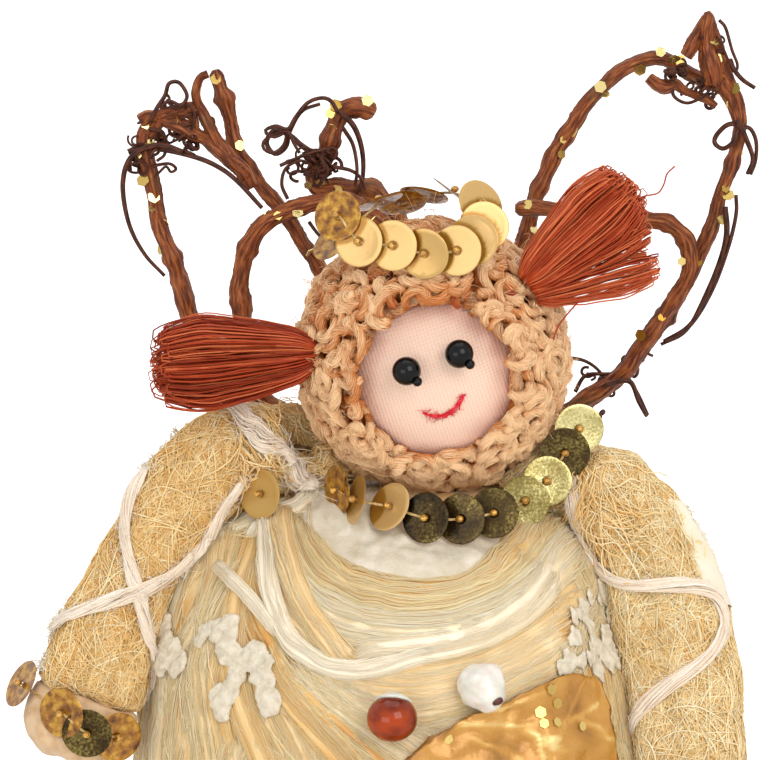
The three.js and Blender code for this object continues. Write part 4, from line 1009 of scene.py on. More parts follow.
def sleeve_fibres(side, mesh, seed):
    """Fibres that run every way over a sleeve, with a loose end here and there."""
    rng = np.random.default_rng(seed)
    picks = rng.integers(0, len(mesh.vertices), SLEEVE_FIBRES)
    starts = np.array([mesh.vertices[int(i)].co / MM for i in picks])
    ways = unit(rng.normal(size=(SLEEVE_FIBRES, 3)) * np.array([0.7, 0.7, 1.9]))
    paths = wandering("sleeve", tree_of_mesh(mesh), starts, ways, rng)
    name = "sleeve_fibres_" + side
    lay_fibres(name, "sleeve", paths, "sisal_fibre", SLEEVE_TONES[side], 0.25, rng)


def sleeve(side, seed):
    mesh = soft_copy("sleeve_" + side, "sleeve_soft_" + side, *SLEEVE_SOFT, seed)
    sleeve_piece = add_piece("sleeve_soft_" + side, mesh, "sisal_mat", ["sleeve_" + side])
    sleeve_fibres(side, mesh, seed)


def cuff(side, seed):
    mesh = soft_copy("cuff_" + side, "cuff_soft_" + side, *CUFF_SOFT, seed)
    cuff_piece = add_piece("cuff_soft_" + side, mesh, "felt", ["cuff_" + side])


def fringes():
    """Fine white fleece along the outer edge of the left sleeve."""
    for number, (pixels, hairs, width) in enumerate(FRINGES):
        rng = np.random.default_rng(68 + number)
        tree = cad_tree("sleeve_left")
        line = seen_line(tree, pixels, 80)
        picks = rng.integers(0, len(line), hairs)
        starts = draped(tree, line[picks] + rng.normal(0, width / 2.5, (hairs, 3)), 0.15)
        ways = unit(starts - draped(tree, starts, -1.0) + rng.normal(0, 0.9, (hairs, 3)))
        ends = starts + ways * rng.uniform(0.3, 1.5, (hairs, 1))
        middles = (starts + ends) / 2 + rng.normal(0, 0.25, (hairs, 3))
        paths = bent_hairs(starts, middles, ends, 6)
        sizes, tones = rng.uniform(0.04, 0.09, hairs), rng.uniform(0.3, 1, hairs)
        add_tubes(f"sleeve_fringe_{number + 1}", paths, sizes, 4, "fringe", tones)


def sleeve_backing():
    """A torn strip of white cloth round the outer edge of the right sleeve."""
    rows, columns = 26, 90
    rng = np.random.default_rng(75)
    tree = cad_tree("sleeve_right")
    inner = seen_line(tree, BACKING_INNER, columns)
    outer = flat_line(BACKING_OUTER, BACKING_DEPTH, columns)
    share = np.linspace(0, 1, rows)[:, None, None]
    torn = 1 + 0.1 * ripple(inner, 2, 76) + rng.uniform(-0.07, 0.07, columns)
    flat = inner * (1 - share * torn[:, None]) + outer * share * torn[:, None]
    points = draped(tree, flat, 0.62 - 0.5 * (1 - share[..., 0]) ** 4 + 0.1 * ripple(flat, 2.5, 77))
    jag = np.abs(rng.normal(0, 0.35, columns))[:, None] * ease((share - 0.8) * 5)
    points = points + unit(outer - inner) * jag
    tones = 0.55 + 0.25 * ripple(flat, 3, 78)
    mesh = grid_mesh("sleeve_backing_right", points, {"tone": tones})
    add_piece("sleeve_backing_right", mesh, "fringe")


def shoulder_fibres():
    """Loose sisal over the shoulders, in the directions that the picture shows."""
    rng = np.random.default_rng(79)
    tree = cad_tree("sleeve_left", "sleeve_right", "bodice_wrap", "gown")
    paths = []
    for low, high, count, lean in SHOULDERS:
        pixels = rng.uniform(low, high, (count, 2))
        angle = np.radians(lean + rng.normal(0, 24, (count, 1)))
        ways = VIEW_RIGHT * np.cos(angle) + VIEW_UP * np.sin(angle)
        starts = [seen_at(tree, *pixel) for pixel in pixels]
        paths.append(wandering("shoulder", tree, starts, ways, rng))
    paths = np.concatenate(paths)
    tones = np.clip(rng.normal(0.55, 0.25, len(paths)), 0, 1)
    sizes = rng.uniform(*FIBRE_KINDS["shoulder"][4:], len(paths))
    add_tubes("shoulder_fibres", paths, sizes, 4, "sisal_fibre", tones)


for side, seed in zip(SIDES, (61, 62)):
    sleeve(side, seed)
    cuff(side, seed + 5)
fringes()
sleeve_backing()
shoulder_fibres()

# Yarn: loose roving laid over the sleeves. [node, radius, seed, line in photograph pixels]
YARNS = {
    "collar_roving": ("yarn_collar", 1.3, 71,
                      [(228, 408), (250, 430), (274, 452), (297, 476), (319, 495)]),
    "left_down_roving": ("yarn_left_down", 0.78, 72, [
        (150, 470), (132, 500), (128, 535), (132, 574), (138, 598), (143, 627), (148, 661), (150, 702)]),
    "left_across_roving": ("yarn_left_across", 0.88, 73, [
        (244, 472), (225, 496), (213, 518), (201, 540), (179, 564), (150, 586), (126, 598), (102, 605),
        (78, 615), (56, 630)]),
    "right_roving": ("yarn_right", 0.84, 74, [
        (572, 474), (577, 508), (584, 535), (596, 555), (605, 571), (620, 586), (642, 588), (671, 586),
        (695, 586), (712, 593), (722, 613), (719, 642), (702, 664), (671, 685), (647, 705), (637, 719),
        (632, 743)])}
YARN_STEPS = 60
YARN_STRANDS = 90
YARN_HAIRS = 420
YARN_TURNS = 1.3


def yarn(name, node_name, radius, seed, pixels):
    """Roving: a flat, loosely twisted bundle of fine strands, with stray fuzz."""
    rng = np.random.default_rng(seed)
    line = evened(seen_line(CLOTHED, pixels, YARN_STEPS), 6)
    line = evened(draped(CLOTHED, line, radius), 8)
    normals = np.array([normal_at(CLOTHED, point) for point in line])
    ways = unit(np.gradient(line, axis=0))
    across = unit(np.cross(ways, normals))
    uneven = radius * (1 + 0.2 * np.sin(np.linspace(0, 17, YARN_STEPS) + rng.uniform(0, TURN)))
    ends = np.clip(from_ends(YARN_STEPS) / 5 + 0.35, 0, 1)
    share = np.linspace(0, 1, YARN_STEPS)
    angle = rng.uniform(0, TURN, (YARN_STRANDS, 1)) + TURN * YARN_TURNS * share * rng.uniform(
        0.7, 1.2, (YARN_STRANDS, 1))
    out = np.sqrt(rng.uniform(0.05, 1, (YARN_STRANDS, 1))) * uneven * ends
    paths = (line + (np.cos(angle) * out)[..., None] * across
             + (np.sin(angle) * out * 0.5)[..., None] * normals)
    tones = np.clip(rng.normal(0.6, 0.2, YARN_STRANDS), 0, 1)
    sizes = rng.uniform(0.06, 0.12, (YARN_STRANDS, 1)) * (ends * 0.6 + 0.4)
    add_tubes(name, paths, sizes, 4, "yarn_fibre", tones, [node_name])
    picks = rng.integers(0, YARN_STEPS, YARN_HAIRS)
    shape = (YARN_HAIRS, 3)
    starts = line[picks] + rng.normal(0, radius * 0.4, shape)
    ends = starts + ways[picks] * rng.normal(0, 1.6, (YARN_HAIRS, 1)) + rng.normal(0, radius * 0.75, shape)
    middles = (starts + ends) / 2 + rng.normal(0, radius * 0.35, shape)
    add_tubes(name + "_fuzz", bent_hairs(starts, middles, ends, 8), 0.028, 3, "yarn_fibre", 0.8)


CLOTHED = cad_tree("gown", "bodice_wrap", "sleeve_left", "sleeve_right")
for name, settings in YARNS.items():
    yarn(name, *settings)

# Head: the knitted face, its bead eyes and stitched mouth

HEAD_LOW, HEAD_HIGH = cad_box("face_cover")
HEAD = (HEAD_LOW + HEAD_HIGH) / 2
FACE_RADIUS = (HEAD_HIGH - HEAD_LOW).max() / 2
HEAD_ROLL = math.radians(-18)
HEAD_RIGHT = np.array([math.cos(HEAD_ROLL), 0, -math.sin(HEAD_ROLL)])
HEAD_UP = np.array([math.sin(HEAD_ROLL), 0, math.cos(HEAD_ROLL)])
FACE_WAY = np.array([0, -1.0, 0])
# How far from the middle of the face the hair starts, and how far round the head the jersey goes
FACE_EDGE = 9.2
FACE_COVERED = math.radians(145)
# Where the blush starts, and how far on it is full
BLUSH_START, BLUSH_WIDTH = 5.8, 4.2
EYE_RADIUS = 1.7
# A bead's nub and pin: [place from its middle, radius, stretch]
EYE_NUB = ([1.25, -0.8, -1.1], 0.6, [1, 1.3, 1])
EYE_PIN = ([0, 2.2, 0], 0.4, [1, 6, 1])
MOUTH = [(423, 412), (433, 415), (445, 414.5), (455, 408), (460, 401), (464, 394.5)]
MOUTH_STEPS = 60
MOUTH_LIFT = 0.2
STITCHES = 26
STITCH_THREADS = 3
MOUTH_FUZZ = 60


def face_jersey():
    tilt = np.linspace(0.002, FACE_COVERED, 110)
    way = polar(tilt, round_of(160), FACE_WAY, HEAD_RIGHT, HEAD_UP)
    points = HEAD + way * FACE_RADIUS
    points = points + way * (0.05 * ripple(points, 3.5, 81))[..., None]
    across = (points - HEAD) @ HEAD_RIGHT
    up = (points - HEAD) @ HEAD_UP
    far = np.hypot(across, up)
    uneven = 0.42 + 0.3 * np.sign(across) * np.abs(across / FACE_EDGE) ** 0.5
    blush = ease((far - BLUSH_START) / BLUSH_WIDTH) * uneven
    values = {"knit_across": across, "knit_up": up, "blush": np.clip(blush, 0, 1)}
    mesh = grid_mesh("face_jersey", points, values, wrap=True)
    piece = add_piece("face_jersey", mesh, "jersey", ["face_cover"])


def eyes():
    for side in SIDES:
        centre = cad_middle("eye_" + side)
        centre[1] = cad_box("eye_" + side)[0][1] + EYE_RADIUS
        (nub_place, nub_radius, nub_stretch), (pin_place, pin_radius, pin_stretch) = EYE_NUB, EYE_PIN
        bead = centre + ball_grid(EYE_RADIUS)
        nub = centre + np.array(nub_place) + ball_grid(nub_radius, 12, 16) * np.array(nub_stretch)
        pin = centre + np.array(pin_place) + ball_grid(pin_radius, 8, 12) * np.array(pin_stretch)
        name = "eye_bead_" + side
        add_piece(name, joined(name, [bead, nub, pin]), "eye", ["eye_" + side])


def sphere_tree(centre, radius):
    grid = centre + ball_grid(radius, 60, 80)
    index, right = index_grid(*grid.shape[:2])
    return tree_of(grid.reshape(-1, 3), quads_of(index[:-1], index[1:], right[1:], right[:-1]).tolist())


def mouth():
    """Red stitches: short twisted threads one after another, with fuzz."""
    rng = np.random.default_rng(91)
    ball = sphere_tree(HEAD, FACE_RADIUS)
    line = draped(ball, seen_line(ball, MOUTH, MOUTH_STEPS), 0.22)
    last = MOUTH_STEPS - 1
    paths = []
    for k in range(STITCHES):
        share = k / (STITCHES - 1)
        middle = int(3 + 54 * k / (STITCHES - 1))
        wide = 0.07 + 0.2 * math.exp(-((share - 0.68) / 0.28) ** 2)
        for _ in range(STITCH_THREADS):
            lean = rng.normal(0, wide, 3)
            paths.append(spline([line[max(middle - 3, 0)] + lean, line[middle] + FACE_WAY * 0.15 + lean / 2,
                                 line[min(middle + 3, last)] - lean * 0.6], 9))
    for _ in range(MOUTH_FUZZ):
        spot = line[rng.integers(2, MOUTH_STEPS - 2)]
        paths.append(spline([spot, spot + rng.normal(0, 0.3, 3), spot + rng.normal(0, 0.45, 3)], 9))
    sizes = np.r_[np.full(STITCHES * STITCH_THREADS, 0.085), np.full(MOUTH_FUZZ, 0.025)]
    paths = draped(ball, np.array(paths), MOUTH_LIFT + rng.uniform(0, 0.15, (len(paths), 1)))
    tones = np.clip(rng.normal(0.5, 0.25, len(paths)), 0, 1)
    add_tubes("mouth_thread", paths, sizes, 5, "mouth", tones, ["mouth_stitch"])


face_jersey()
eyes()
mouth()

# Hair: a cap coloured dark orange as painted shade between the locks, under hundreds of curled locks, each
# a twisted bundle of fibres

HAIR_RADIUS = 16.2
CAP_RADIUS = 14.3
# How much further out the cap is at the back, and how far the hair's middle is above the head's
CAP_PUFF = 0.6
HAIR_LIFT = 1.0
LOCKS = 860
# The locks that frame the face: how many, how far from its middle, how far in front, and their lean
EDGE_LOCKS = 54
EDGE_RADIUS = 9.7
EDGE_DEPTH = 9.5
EDGE_LEAN = 6
# How far under the hair's outside the locks lie
LOCK_DEPTH = 0.85
LOCK_FIBRES = 26
LOCK_STEPS = 12
LOCK_PIECES = 6
LOCK_RADIUS = 0.56
LOCK_FIBRE_RADIUS = 0.066
STRAY_HAIRS = 1500
STRAY_RADIUS = 0.026
HAIR_CENTRE = HEAD + HAIR_LIFT * HEAD_UP


def hair_cap():
    opening = math.asin(FACE_EDGE / FACE_RADIUS)
    tilt = np.linspace(opening, math.pi - 0.01, 90)
    way = polar(tilt, round_of(140), FACE_WAY, HEAD_RIGHT, HEAD_UP)
    tilt = tilt[:, None]
    radius = CAP_RADIUS + CAP_PUFF * ease((tilt - 1.6) / 0.8) + 0.5 * ripple(way * CAP_RADIUS, 2.2, 101)
    radius = FACE_RADIUS + 0.1 + (radius - FACE_RADIUS) * ease((tilt - opening) / 0.12)
    lift = HAIR_LIFT * ease((tilt - opening) / 0.6)
    points = HEAD + way * radius[..., None] + lift[..., None] * HEAD_UP
    add_piece("hair_cap", grid_mesh("hair_cap", points, wrap=True), "curl_cap", ["hair"])


def lock_places(rng):
    """Even places on the hair's round, outside the face, as directions from its centre."""
    count = int(LOCKS / 0.88)
    k = np.arange(count) + 0.5
    height = 1 - 2 * k / count
    turn = math.pi * (1 + 5 ** 0.5) * k
    flat = np.sqrt(1 - height ** 2)
    ways = np.stack([flat * np.cos(turn), flat * np.sin(turn), height], axis=1)
    ways = unit(ways + rng.normal(0, 0.035, ways.shape))
    off = HAIR_CENTRE + ways * HAIR_RADIUS - HEAD
    beside = np.hypot(off @ HEAD_RIGHT, off @ HEAD_UP)
    keep = (ways @ FACE_WAY < 0) | (beside > FACE_EDGE + 0.9)
    return ways[keep]


def edge_places(rng):
    """Places of the locks that frame the face, close to the jersey."""
    turn = TURN * (np.arange(EDGE_LOCKS) + rng.uniform(-0.3, 0.3, EDGE_LOCKS)) / EDGE_LOCKS
    out = np.cos(turn)[:, None] * HEAD_RIGHT + np.sin(turn)[:, None] * HEAD_UP
    depth = EDGE_DEPTH + rng.uniform(-0.4, 0.6, (EDGE_LOCKS, 1))
    return HEAD + out * (EDGE_RADIUS + rng.uniform(-0.25, 0.25, (EDGE_LOCKS, 1))) + FACE_WAY * depth


def lock_painted_light_and_shade(points, base, level):
    """Painted light and shade: paler where a curl stands out, darker where it goes down between the others.
    """
    out = np.linalg.norm(points - HAIR_CENTRE, axis=-1) - level[:, None]
    return np.clip(base[:, None] + 0.5 * (out - 0.12), 0, 1)


def hair_locks():
    """Every lock's line winds round its place; its fibres and its core follow the line."""
    rng = np.random.default_rng(103)
    ways = lock_places(rng)
    middles = HAIR_CENTRE + ways * (HAIR_RADIUS - LOCK_DEPTH)
    edge = edge_places(rng)
    middles = np.vstack([middles, edge])
    ways = np.vstack([ways, unit(edge - HEAD + FACE_WAY * EDGE_LEAN)])
    count = len(ways)
    first = unit(np.cross(ways, rng.normal(size=(count, 3))))
    second = np.cross(ways, first)
    share = np.linspace(0, 1, LOCK_STEPS)
    sweep_angle = rng.uniform(1.3, 2.4, (count, 1)) * math.pi * rng.choice([-1, 1], (count, 1))
    angle = rng.uniform(0, TURN, (count, 1)) + sweep_angle * share
    reach = rng.uniform(0.7, 1.2, (count, 1)) * (0.7 + 0.3 * np.sin(math.pi * share))
    drift = rng.uniform(1.4, 3.4, (count, 1)) * (share - 0.5)
    tangent = unit(np.cross(edge - HEAD, FACE_WAY))
    first[-len(edge):] = unit(tangent)
    second[-len(edge):] = unit(np.cross(ways[-len(edge):], tangent))
    reach[-len(edge):] *= 0.7
    rise = rng.uniform(-0.5, 0.35, (count, 1)) + 0.75 * np.sin(math.pi * share)
    lines = (middles[:, None] + ways[:, None] * rise[..., None] + first[:, None] * drift[..., None]
             + (first[:, None] * np.cos(angle)[..., None] + second[:, None] * np.sin(angle)[..., None])
             * reach[..., None])
    swell = LOCK_RADIUS * np.sin(math.pi * (0.08 + 0.84 * share)) ** 0.6 * rng.uniform(0.8, 1.2, (count, 1))
    side = (middles - HAIR_CENTRE) / HAIR_RADIUS
    # Painted light and shade: locks are lighter towards the right and the bottom, and darker at the top.
    tone = rng.normal(0.55, 0.17, count) + 0.14 * side[:, 0] - 0.34 * side[:, 2]
    level = np.linalg.norm(middles - HAIR_CENTRE, axis=1)
    for part in range(LOCK_PIECES):
        chosen = np.arange(part, count, LOCK_PIECES)
        paths = bundle(lines[chosen], swell[chosen], LOCK_FIBRES, 0.8, rng)
        paths = paths + rng.normal(0, 0.055, paths.shape)
        fibres = np.repeat(chosen, LOCK_FIBRES)
        tones = lock_painted_light_and_shade(paths, tone[fibres] + rng.normal(0, 0.1, len(fibres)), level[fibres])
        add_tubes(f"hair_locks_{part + 1}", paths, LOCK_FIBRE_RADIUS, 3, "curl_fibre", tones)
        tones = lock_painted_light_and_shade(lines[chosen], tone[chosen] - 0.1, level[chosen])
        sizes = swell[chosen] * 0.85
        add_tubes(f"hair_cores_{part + 1}", lines[chosen], sizes, 9, "curl_fibre", tones)


def hair_strays():
    """Fine loose hairs that stand off the curls, all over the hair."""
    rng = np.random.default_rng(107)
    ways = lock_places(rng)
    ways = ways[rng.integers(0, len(ways), STRAY_HAIRS)]
    starts = HAIR_CENTRE + ways * (HAIR_RADIUS - 0.3)
    tips = starts + ways * rng.uniform(0, 0.9, (STRAY_HAIRS, 1)) + rng.normal(0, 1.3, (STRAY_HAIRS, 3))
    middles = (starts + tips) / 2 + ways * rng.uniform(0.2, 0.8, (STRAY_HAIRS, 1))
    middles = middles + rng.normal(0, 0.5, (STRAY_HAIRS, 3))
    paths = bent_hairs(starts, middles, tips, 10)
    add_tubes("hair_strays", paths, STRAY_RADIUS, 3, "curl_fibre", 0.85)


hair_cap()
hair_locks()
hair_strays()

# Pigtails: hanks of looped fibre, drawn in where they start

# Each hank: root pixel, tip pixel, loops, half width and half depth
LEFT_HANKS = [((317, 354), (147, 367), 240, 6.3, 4.4)]
RIGHT_HANKS = [((526, 282), (637, 180), 180, 5.1, 4.2), ((531, 289), (652, 222), 60, 3.0, 3.0),
               ((536, 297), (663, 260), 34, 3.2, 3.0)]
# Loose fibres beside the right pigtail, in photograph pixels
STRAY_LOOPS = [[(580, 300), (571, 310), (559, 325), (554, 338), (553, 346)],
               [(634, 200), (645, 196), (658, 193), (664, 184), (667, 174), (675, 166)]]
STRAY_DEPTH = -8
HALF_STEPS = 9
LOOP_STEPS = 42
LOOP_RADII = (0.075, 0.12)
# The thread that winds round a hank's root
TIE_TURNS = 7
TIE_STEPS = 150
TIE_RADIUS = 1.6
TIE_LENGTH = 1.6
TIE_START = -3.4
TIE_THREAD = 0.16


def hank_half(start, along, across, reach, wide, deep, order):
    """Half of a loop: out from the hank's root, or back to it."""
    steps = np.linspace(0, 0.97, HALF_STEPS)[::order]
    narrow = 0.26 + 0.78 * np.clip(steps, 0, 1) ** 0.55
    sag = 1 - 0.26 * ease((steps - 0.74) * 3.8)
    return (start + along * (reach * steps)[:, None] + across * (wide * narrow * sag)[:, None]
            + REARWARD * (deep * narrow * sag)[:, None])


def hank_loop(start, along, across, length, wide, deep, rng):
    """One fibre of a hank: out to its tip, round a bend and back."""
    radius = math.sqrt(rng.uniform(0, 1))
    angle = rng.uniform(0, TURN)
    out = np.array([math.cos(angle), math.sin(angle)]) * radius
    back = out + rng.normal(0, 0.2, 2)
    back = back / max(1, np.linalg.norm(back) / 1.03)
    reach = length * (1 - 0.1 * radius ** 2) * rng.uniform(0.93, 1.0)
    there, home = (hank_half(start, along, across, reach, spot[0] * wide, spot[1] * deep, order)
                   for spot, order in ((out, 1), (back, -1)))
    bend = (there[-1] + home[0]) / 2 + along * length * 0.035
    points = np.vstack([there, bend, home])
    return spline(points + rng.normal(0, 0.06, points.shape), LOOP_STEPS)


def hank_axes(root, tip, depth):
    """Where a hank starts, and its directions along and across."""
    start = at_pixel(*root, depth)
    way = at_pixel(*tip, depth) - start
    along = unit(way)
    return start, along, unit(np.cross(along, REARWARD)), np.linalg.norm(way)


def hank(side, hanks, seed, tone):
    """A pigtail's loops, and the thread that ties them at the root."""
    rng = np.random.default_rng(seed)
    depth = cad_middle("pigtail_" + side)[1]
    paths, tones = [], []
    for root, tip, loops, wide, deep in hanks:
        axes = hank_axes(root, tip, depth)
        for _ in range(loops):
            paths.append(hank_loop(*axes, wide, deep, rng))
            tones.append(rng.normal(tone, 0.24))
    name = "pigtail_loops_" + side
    sizes = rng.uniform(*LOOP_RADII, len(paths))
    tones = np.clip(tones, 0, 1)
    add_tubes(name, paths, sizes, 4, "pigtail_fibre", tones, ["pigtail_" + side])
    start, along, across, _ = hank_axes(*hanks[0][:2], depth)
    angle = np.linspace(0, TIE_TURNS * TURN, TIE_STEPS)
    turns = (start + along * (TIE_LENGTH * angle / angle[-1] + TIE_START)[:, None]
             + (across * np.cos(angle)[:, None] + REARWARD * np.sin(angle)[:, None]) * TIE_RADIUS)
    add_tubes(name + "_tie", turns[None], TIE_THREAD, 6, "pigtail_fibre", 0.35,
              ["pigtail_tie_" + side])


# The left pigtail's lower tone is painted shade and the right's higher tone is painted light, as the light
# falls from the right.
hank("left", LEFT_HANKS, 111, 0.46)
hank("right", RIGHT_HANKS, 112, 0.66)
add_tubes("pigtail_strays", [flat_line(pixels, STRAY_DEPTH, 24) for pixels in STRAY_LOOPS], 0.1, 4,
          "pigtail_fibre")

# Sequins: dished discs with a bead and a thread

SEQUIN_RADIUS = 3.0
SEQUIN_THICK = 0.14
SEQUIN_SIDES = 40
SEQUIN_DISH = 0.13
# Where a sequin's rings are, as shares of its radius, and how far its hole and its rim are rounded
SEQUIN_RINGS = np.array([0.1, 0.22, 0.34, 0.46, 0.58, 0.7, 0.8, 0.9, 0.97, 1.0])
SEQUIN_ROUNDING = ([0.1, 0.22, 0.9, 1.0], [0.02, 0, 0, 0.06])
# How far from its neighbour's middle a gold sequin is in its painted shade
SHADE_REACH = 3.6
BEAD_RADIUS = 0.5
BEAD_SHAPE = np.array([1, 1, 0.85])
THREAD_RADIUS = 0.16
# Looks of a sequin's front, by their place in the list of its materials. Its back is amber
SEQUIN_LOOKS = ["sequin_gold", "sequin_amber", "sequin_dark"]
GOLD, AMBER, DARK = 0, 1, 2


def sequin_shape(centre, normal, spin, rng):
    """Front and back of one sequin, as rings round its normal from its hole to its rim."""
    side = unit(np.cross(normal, np.array([0.13, 0.2, 1.0])))
    up = np.cross(normal, side)
    angle = round_of(SEQUIN_SIDES) + spin
    ring = np.cos(angle)[:, None] * side + np.sin(angle)[:, None] * up
    warp = rng.normal(0, 0.05) * np.cos(2 * angle + rng.uniform(0, TURN))
    bowl = (SEQUIN_RINGS ** 2)[:, None]
    dish = SEQUIN_DISH * bowl + warp * bowl
    drop = np.interp(SEQUIN_RINGS, *SEQUIN_ROUNDING)[:, None]
    rings = centre + ring * (SEQUIN_RADIUS * SEQUIN_RINGS)[:, None, None]
    heights = [dish + way * (SEQUIN_THICK / 2 - drop) for way in (1, -1)]
    return [rings + normal * height[..., None] for height in heights]


def stood_clear(place, normal, tree, gap, most=4.0):
    """A sequin's centre, moved towards the camera until its rim is in front of what it lies on."""
    normal = unit(np.asarray(normal, float))
    side = unit(np.cross(normal, VIEW_UP))
    up = np.cross(normal, side)
    push = 0.0
    for angle in round_of(16):
        rim = place + (side * math.cos(angle) + up * math.sin(angle)) * SEQUIN_RADIUS
        distance = tree.ray_cast(Vector(CAMERA_PLACE), Vector(unit(rim - CAMERA_PLACE)))[3]
        if distance is not None:
            push = max(push, np.linalg.norm(rim - CAMERA_PLACE) - distance + gap)
    return place - unit(place - CAMERA_PLACE) * min(push, most)


def painted_shade_tone(points, neighbour, tone):
    """Painted shade: amber where a sequin lies in the shadow of the one on its left."""
    off = points - neighbour
    near = np.hypot(off @ VIEW_RIGHT, off @ VIEW_UP)
    return tone - 0.6 * ease((SHADE_REACH - near) / 0.3)


def add_sequins(name, rows, replaces, seed, thread=True):
    """Sequins from rows of (centre, normal, tone, front look), with beads, on one thread."""
    rng = np.random.default_rng(seed)
    vertices, faces, tones, materials, beads = [], [], [], [], []
    neighbour, start = None, 0
    for centre, normal, tone, kind in rows:
        normal = unit(np.asarray(normal, float))
        front, back = sequin_shape(centre, normal, rng.uniform(0, TURN), rng)
        both = np.concatenate([front, back[::-1]])
        index, right = index_grid(*both.shape[:2], start)
        below, beyond = np.roll(index, -1, axis=0), np.roll(right, -1, axis=0)
        faces.append(quads_of(index, right, beyond, below))
        vertices.append(both.reshape(-1, 3))
        materials.append(np.repeat([kind, AMBER], index.size // 2))
        # A gold sequin that follows another gets that one's shadow painted on it, in amber.
        shaded = kind == GOLD and neighbour is not None
        tone = painted_shade_tone(both, neighbour, tone) if shaded else np.full(both.shape[:2], tone)
        tones.append(tone.ravel())
        bead = np.asarray(centre) + normal * (BEAD_RADIUS + 0.1)
        beads.append(bead + ball_grid(BEAD_RADIUS, 12, 16) * BEAD_SHAPE)
        neighbour = centre
        start += index.size
    values = {"tone": np.concatenate(tones)}
    mesh = build_mesh(name, np.concatenate(vertices), [np.concatenate(faces)], values)
    add_piece(name, mesh, SEQUIN_LOOKS, replaces)
    mesh.polygons.foreach_set("material_index", np.concatenate(materials).astype(np.int32))
    add_piece(name + "_beads", joined(name + "_beads", beads), "seed_bead")
    if thread:
        line = spline([row[0] for row in rows], 12 * len(rows))
        add_tubes(name + "_thread", line[None], THREAD_RADIUS, 6, "thread")


# Crown: [pixel, depth, normal, tone, look]
CROWN_ROWS = [
    ((380, 203), 4.5, (-0.3, 0.34, 0.89), 0.7, AMBER),
    ((334, 240), -5.2, (-0.62, -0.42, 0.66), 0.7, AMBER),
    ((338, 216), -9.8, (-0.42, -0.86, 0.28), 0.7, AMBER),
    ((359, 241.5), -11.2, (-0.36, -0.92, 0.12), 0.95, GOLD),
    ((393, 245.5), -12.2, (-0.32, -0.94, 0.08), 0.95, GOLD),
    ((424.5, 253.5), -12.7, (-0.3, -0.95, 0.0), 0.84, GOLD),
    ((457, 250.5), -12.3, (-0.26, -0.96, 0.1), 0.97, GOLD),
    ((473, 240.5), -11.0, (-0.1, -0.97, 0.2), 0.98, GOLD),
    ((484, 226.5), -8.8, (0.16, -0.94, 0.28), 0.97, GOLD),
    ((480, 204), -6.4, (0.5, -0.72, 0.48), 0.95, GOLD),
    ((452, 193), 6.5, (0.6, 0.12, 0.79), 0.6, AMBER),
    ((424, 196), 8.6, (0.2, 0.42, 0.88), 0.7, AMBER),
    ((402, 204), 9.4, (-0.1, 0.6, 0.8), 0.6, AMBER)]
# Necklace and left cuff: [pixel, turn of the face to the right and lean up in degrees, tone, look]
NECKLACE_ROWS = [
    ((338, 490), -50, 0, 0.7, AMBER), ((357, 500), -62, 14, 1.0, GOLD), ((390, 507), -34, 28, 1.0, GOLD),
    ((426, 518), -16, 12, 0.04, DARK), ((461, 519), -8, 10, 0.1, DARK), ((494, 513), 4, 14, 0.16, DARK),
    ((525, 501), 8, 14, 0.34, DARK), ((547, 481), 14, 14, 0.42, DARK), ((565, 453), 12, 6, 0.12, DARK),
    ((579, 429), 20, 8, 0.5, DARK),
]
LEFT_CUFF_ROWS = [
    ((22, 684), -62, 30, 0.7, AMBER), ((62, 713), -28, 0, 0.75, AMBER), ((87, 733), -5, -6, 0.12, DARK),
    ((117, 737), 25, 0, 0.6, AMBER)]
# Each sequin of the necklace leans on the one before it, stands off what its middle is in front of,
# and clears the clothes with its rim by a gap. The last one is set behind the one before it
NECKLACE_LEAN = math.radians(9.6)
NECKLACE_STAND = 0.8
NECKLACE_GAP = 1.5
LAST_BEHIND = 1.3
# The sequin on the cuff's side is left of this pixel, at this depth
CUFF_SIDE = 30
CUFF_SIDE_DEPTH = -9.5
# Right cuff, which the photograph doesn't show: its first turn and its whole turn in degrees
RIGHT_CUFF_LOOKS = (GOLD, GOLD, DARK, GOLD)
RIGHT_CUFF_START, RIGHT_CUFF_SPAN = -55, 95
RIGHT_CUFF_REACH = np.array([6.6, 6.4, 6])
LOOSE_SEQUIN = (261, 494)
LOOSE_FACING = (-0.6, -0.78, 0.18)


def crown():
    rows = [(at_pixel(*pixel, depth), normal, tone, kind)
            for pixel, depth, normal, tone, kind in CROWN_ROWS]
    add_sequins("crown_sequins", rows, ["crown"], 121)


def necklace():
    soft = cad_tree("hair", "bodice_wrap", "sleeve_left", "sleeve_right")
    clothes = cad_tree("bodice_wrap", "sleeve_left", "sleeve_right")
    rows = []
    for pixel, turn, lean, tone, kind in NECKLACE_ROWS:
        place = seen_at(soft, *pixel) - pixel_ray(*pixel) * NECKLACE_STAND
        if pixel == NECKLACE_ROWS[-1][0]:
            place = at_pixel(*pixel, rows[-1][0][1] + LAST_BEHIND)
        angle = math.radians(turn)
        along = np.array([math.cos(angle), math.sin(angle), 0])
        normal = facing(turn, lean) * math.cos(NECKLACE_LEAN) - along * math.sin(NECKLACE_LEAN)
        rows.append((stood_clear(place, normal, clothes, NECKLACE_GAP), normal, tone, kind))
    add_sequins("necklace_sequins", rows, ["necklace"], 122)


def left_cuff_sequins():
    tree = cad_tree("cuff_left", "sleeve_left")
    rows = []
    for pixel, turn, lean, tone, kind in LEFT_CUFF_ROWS:
        seen = pixel[0] > CUFF_SIDE
        place = seen_at(tree, *pixel) - pixel_ray(*pixel) if seen else at_pixel(*pixel, CUFF_SIDE_DEPTH)
        rows.append((place, facing(turn, lean), tone, kind))
    add_sequins("cuff_sequins_gold_left", rows, ["cuff_sequins_left"], 123)


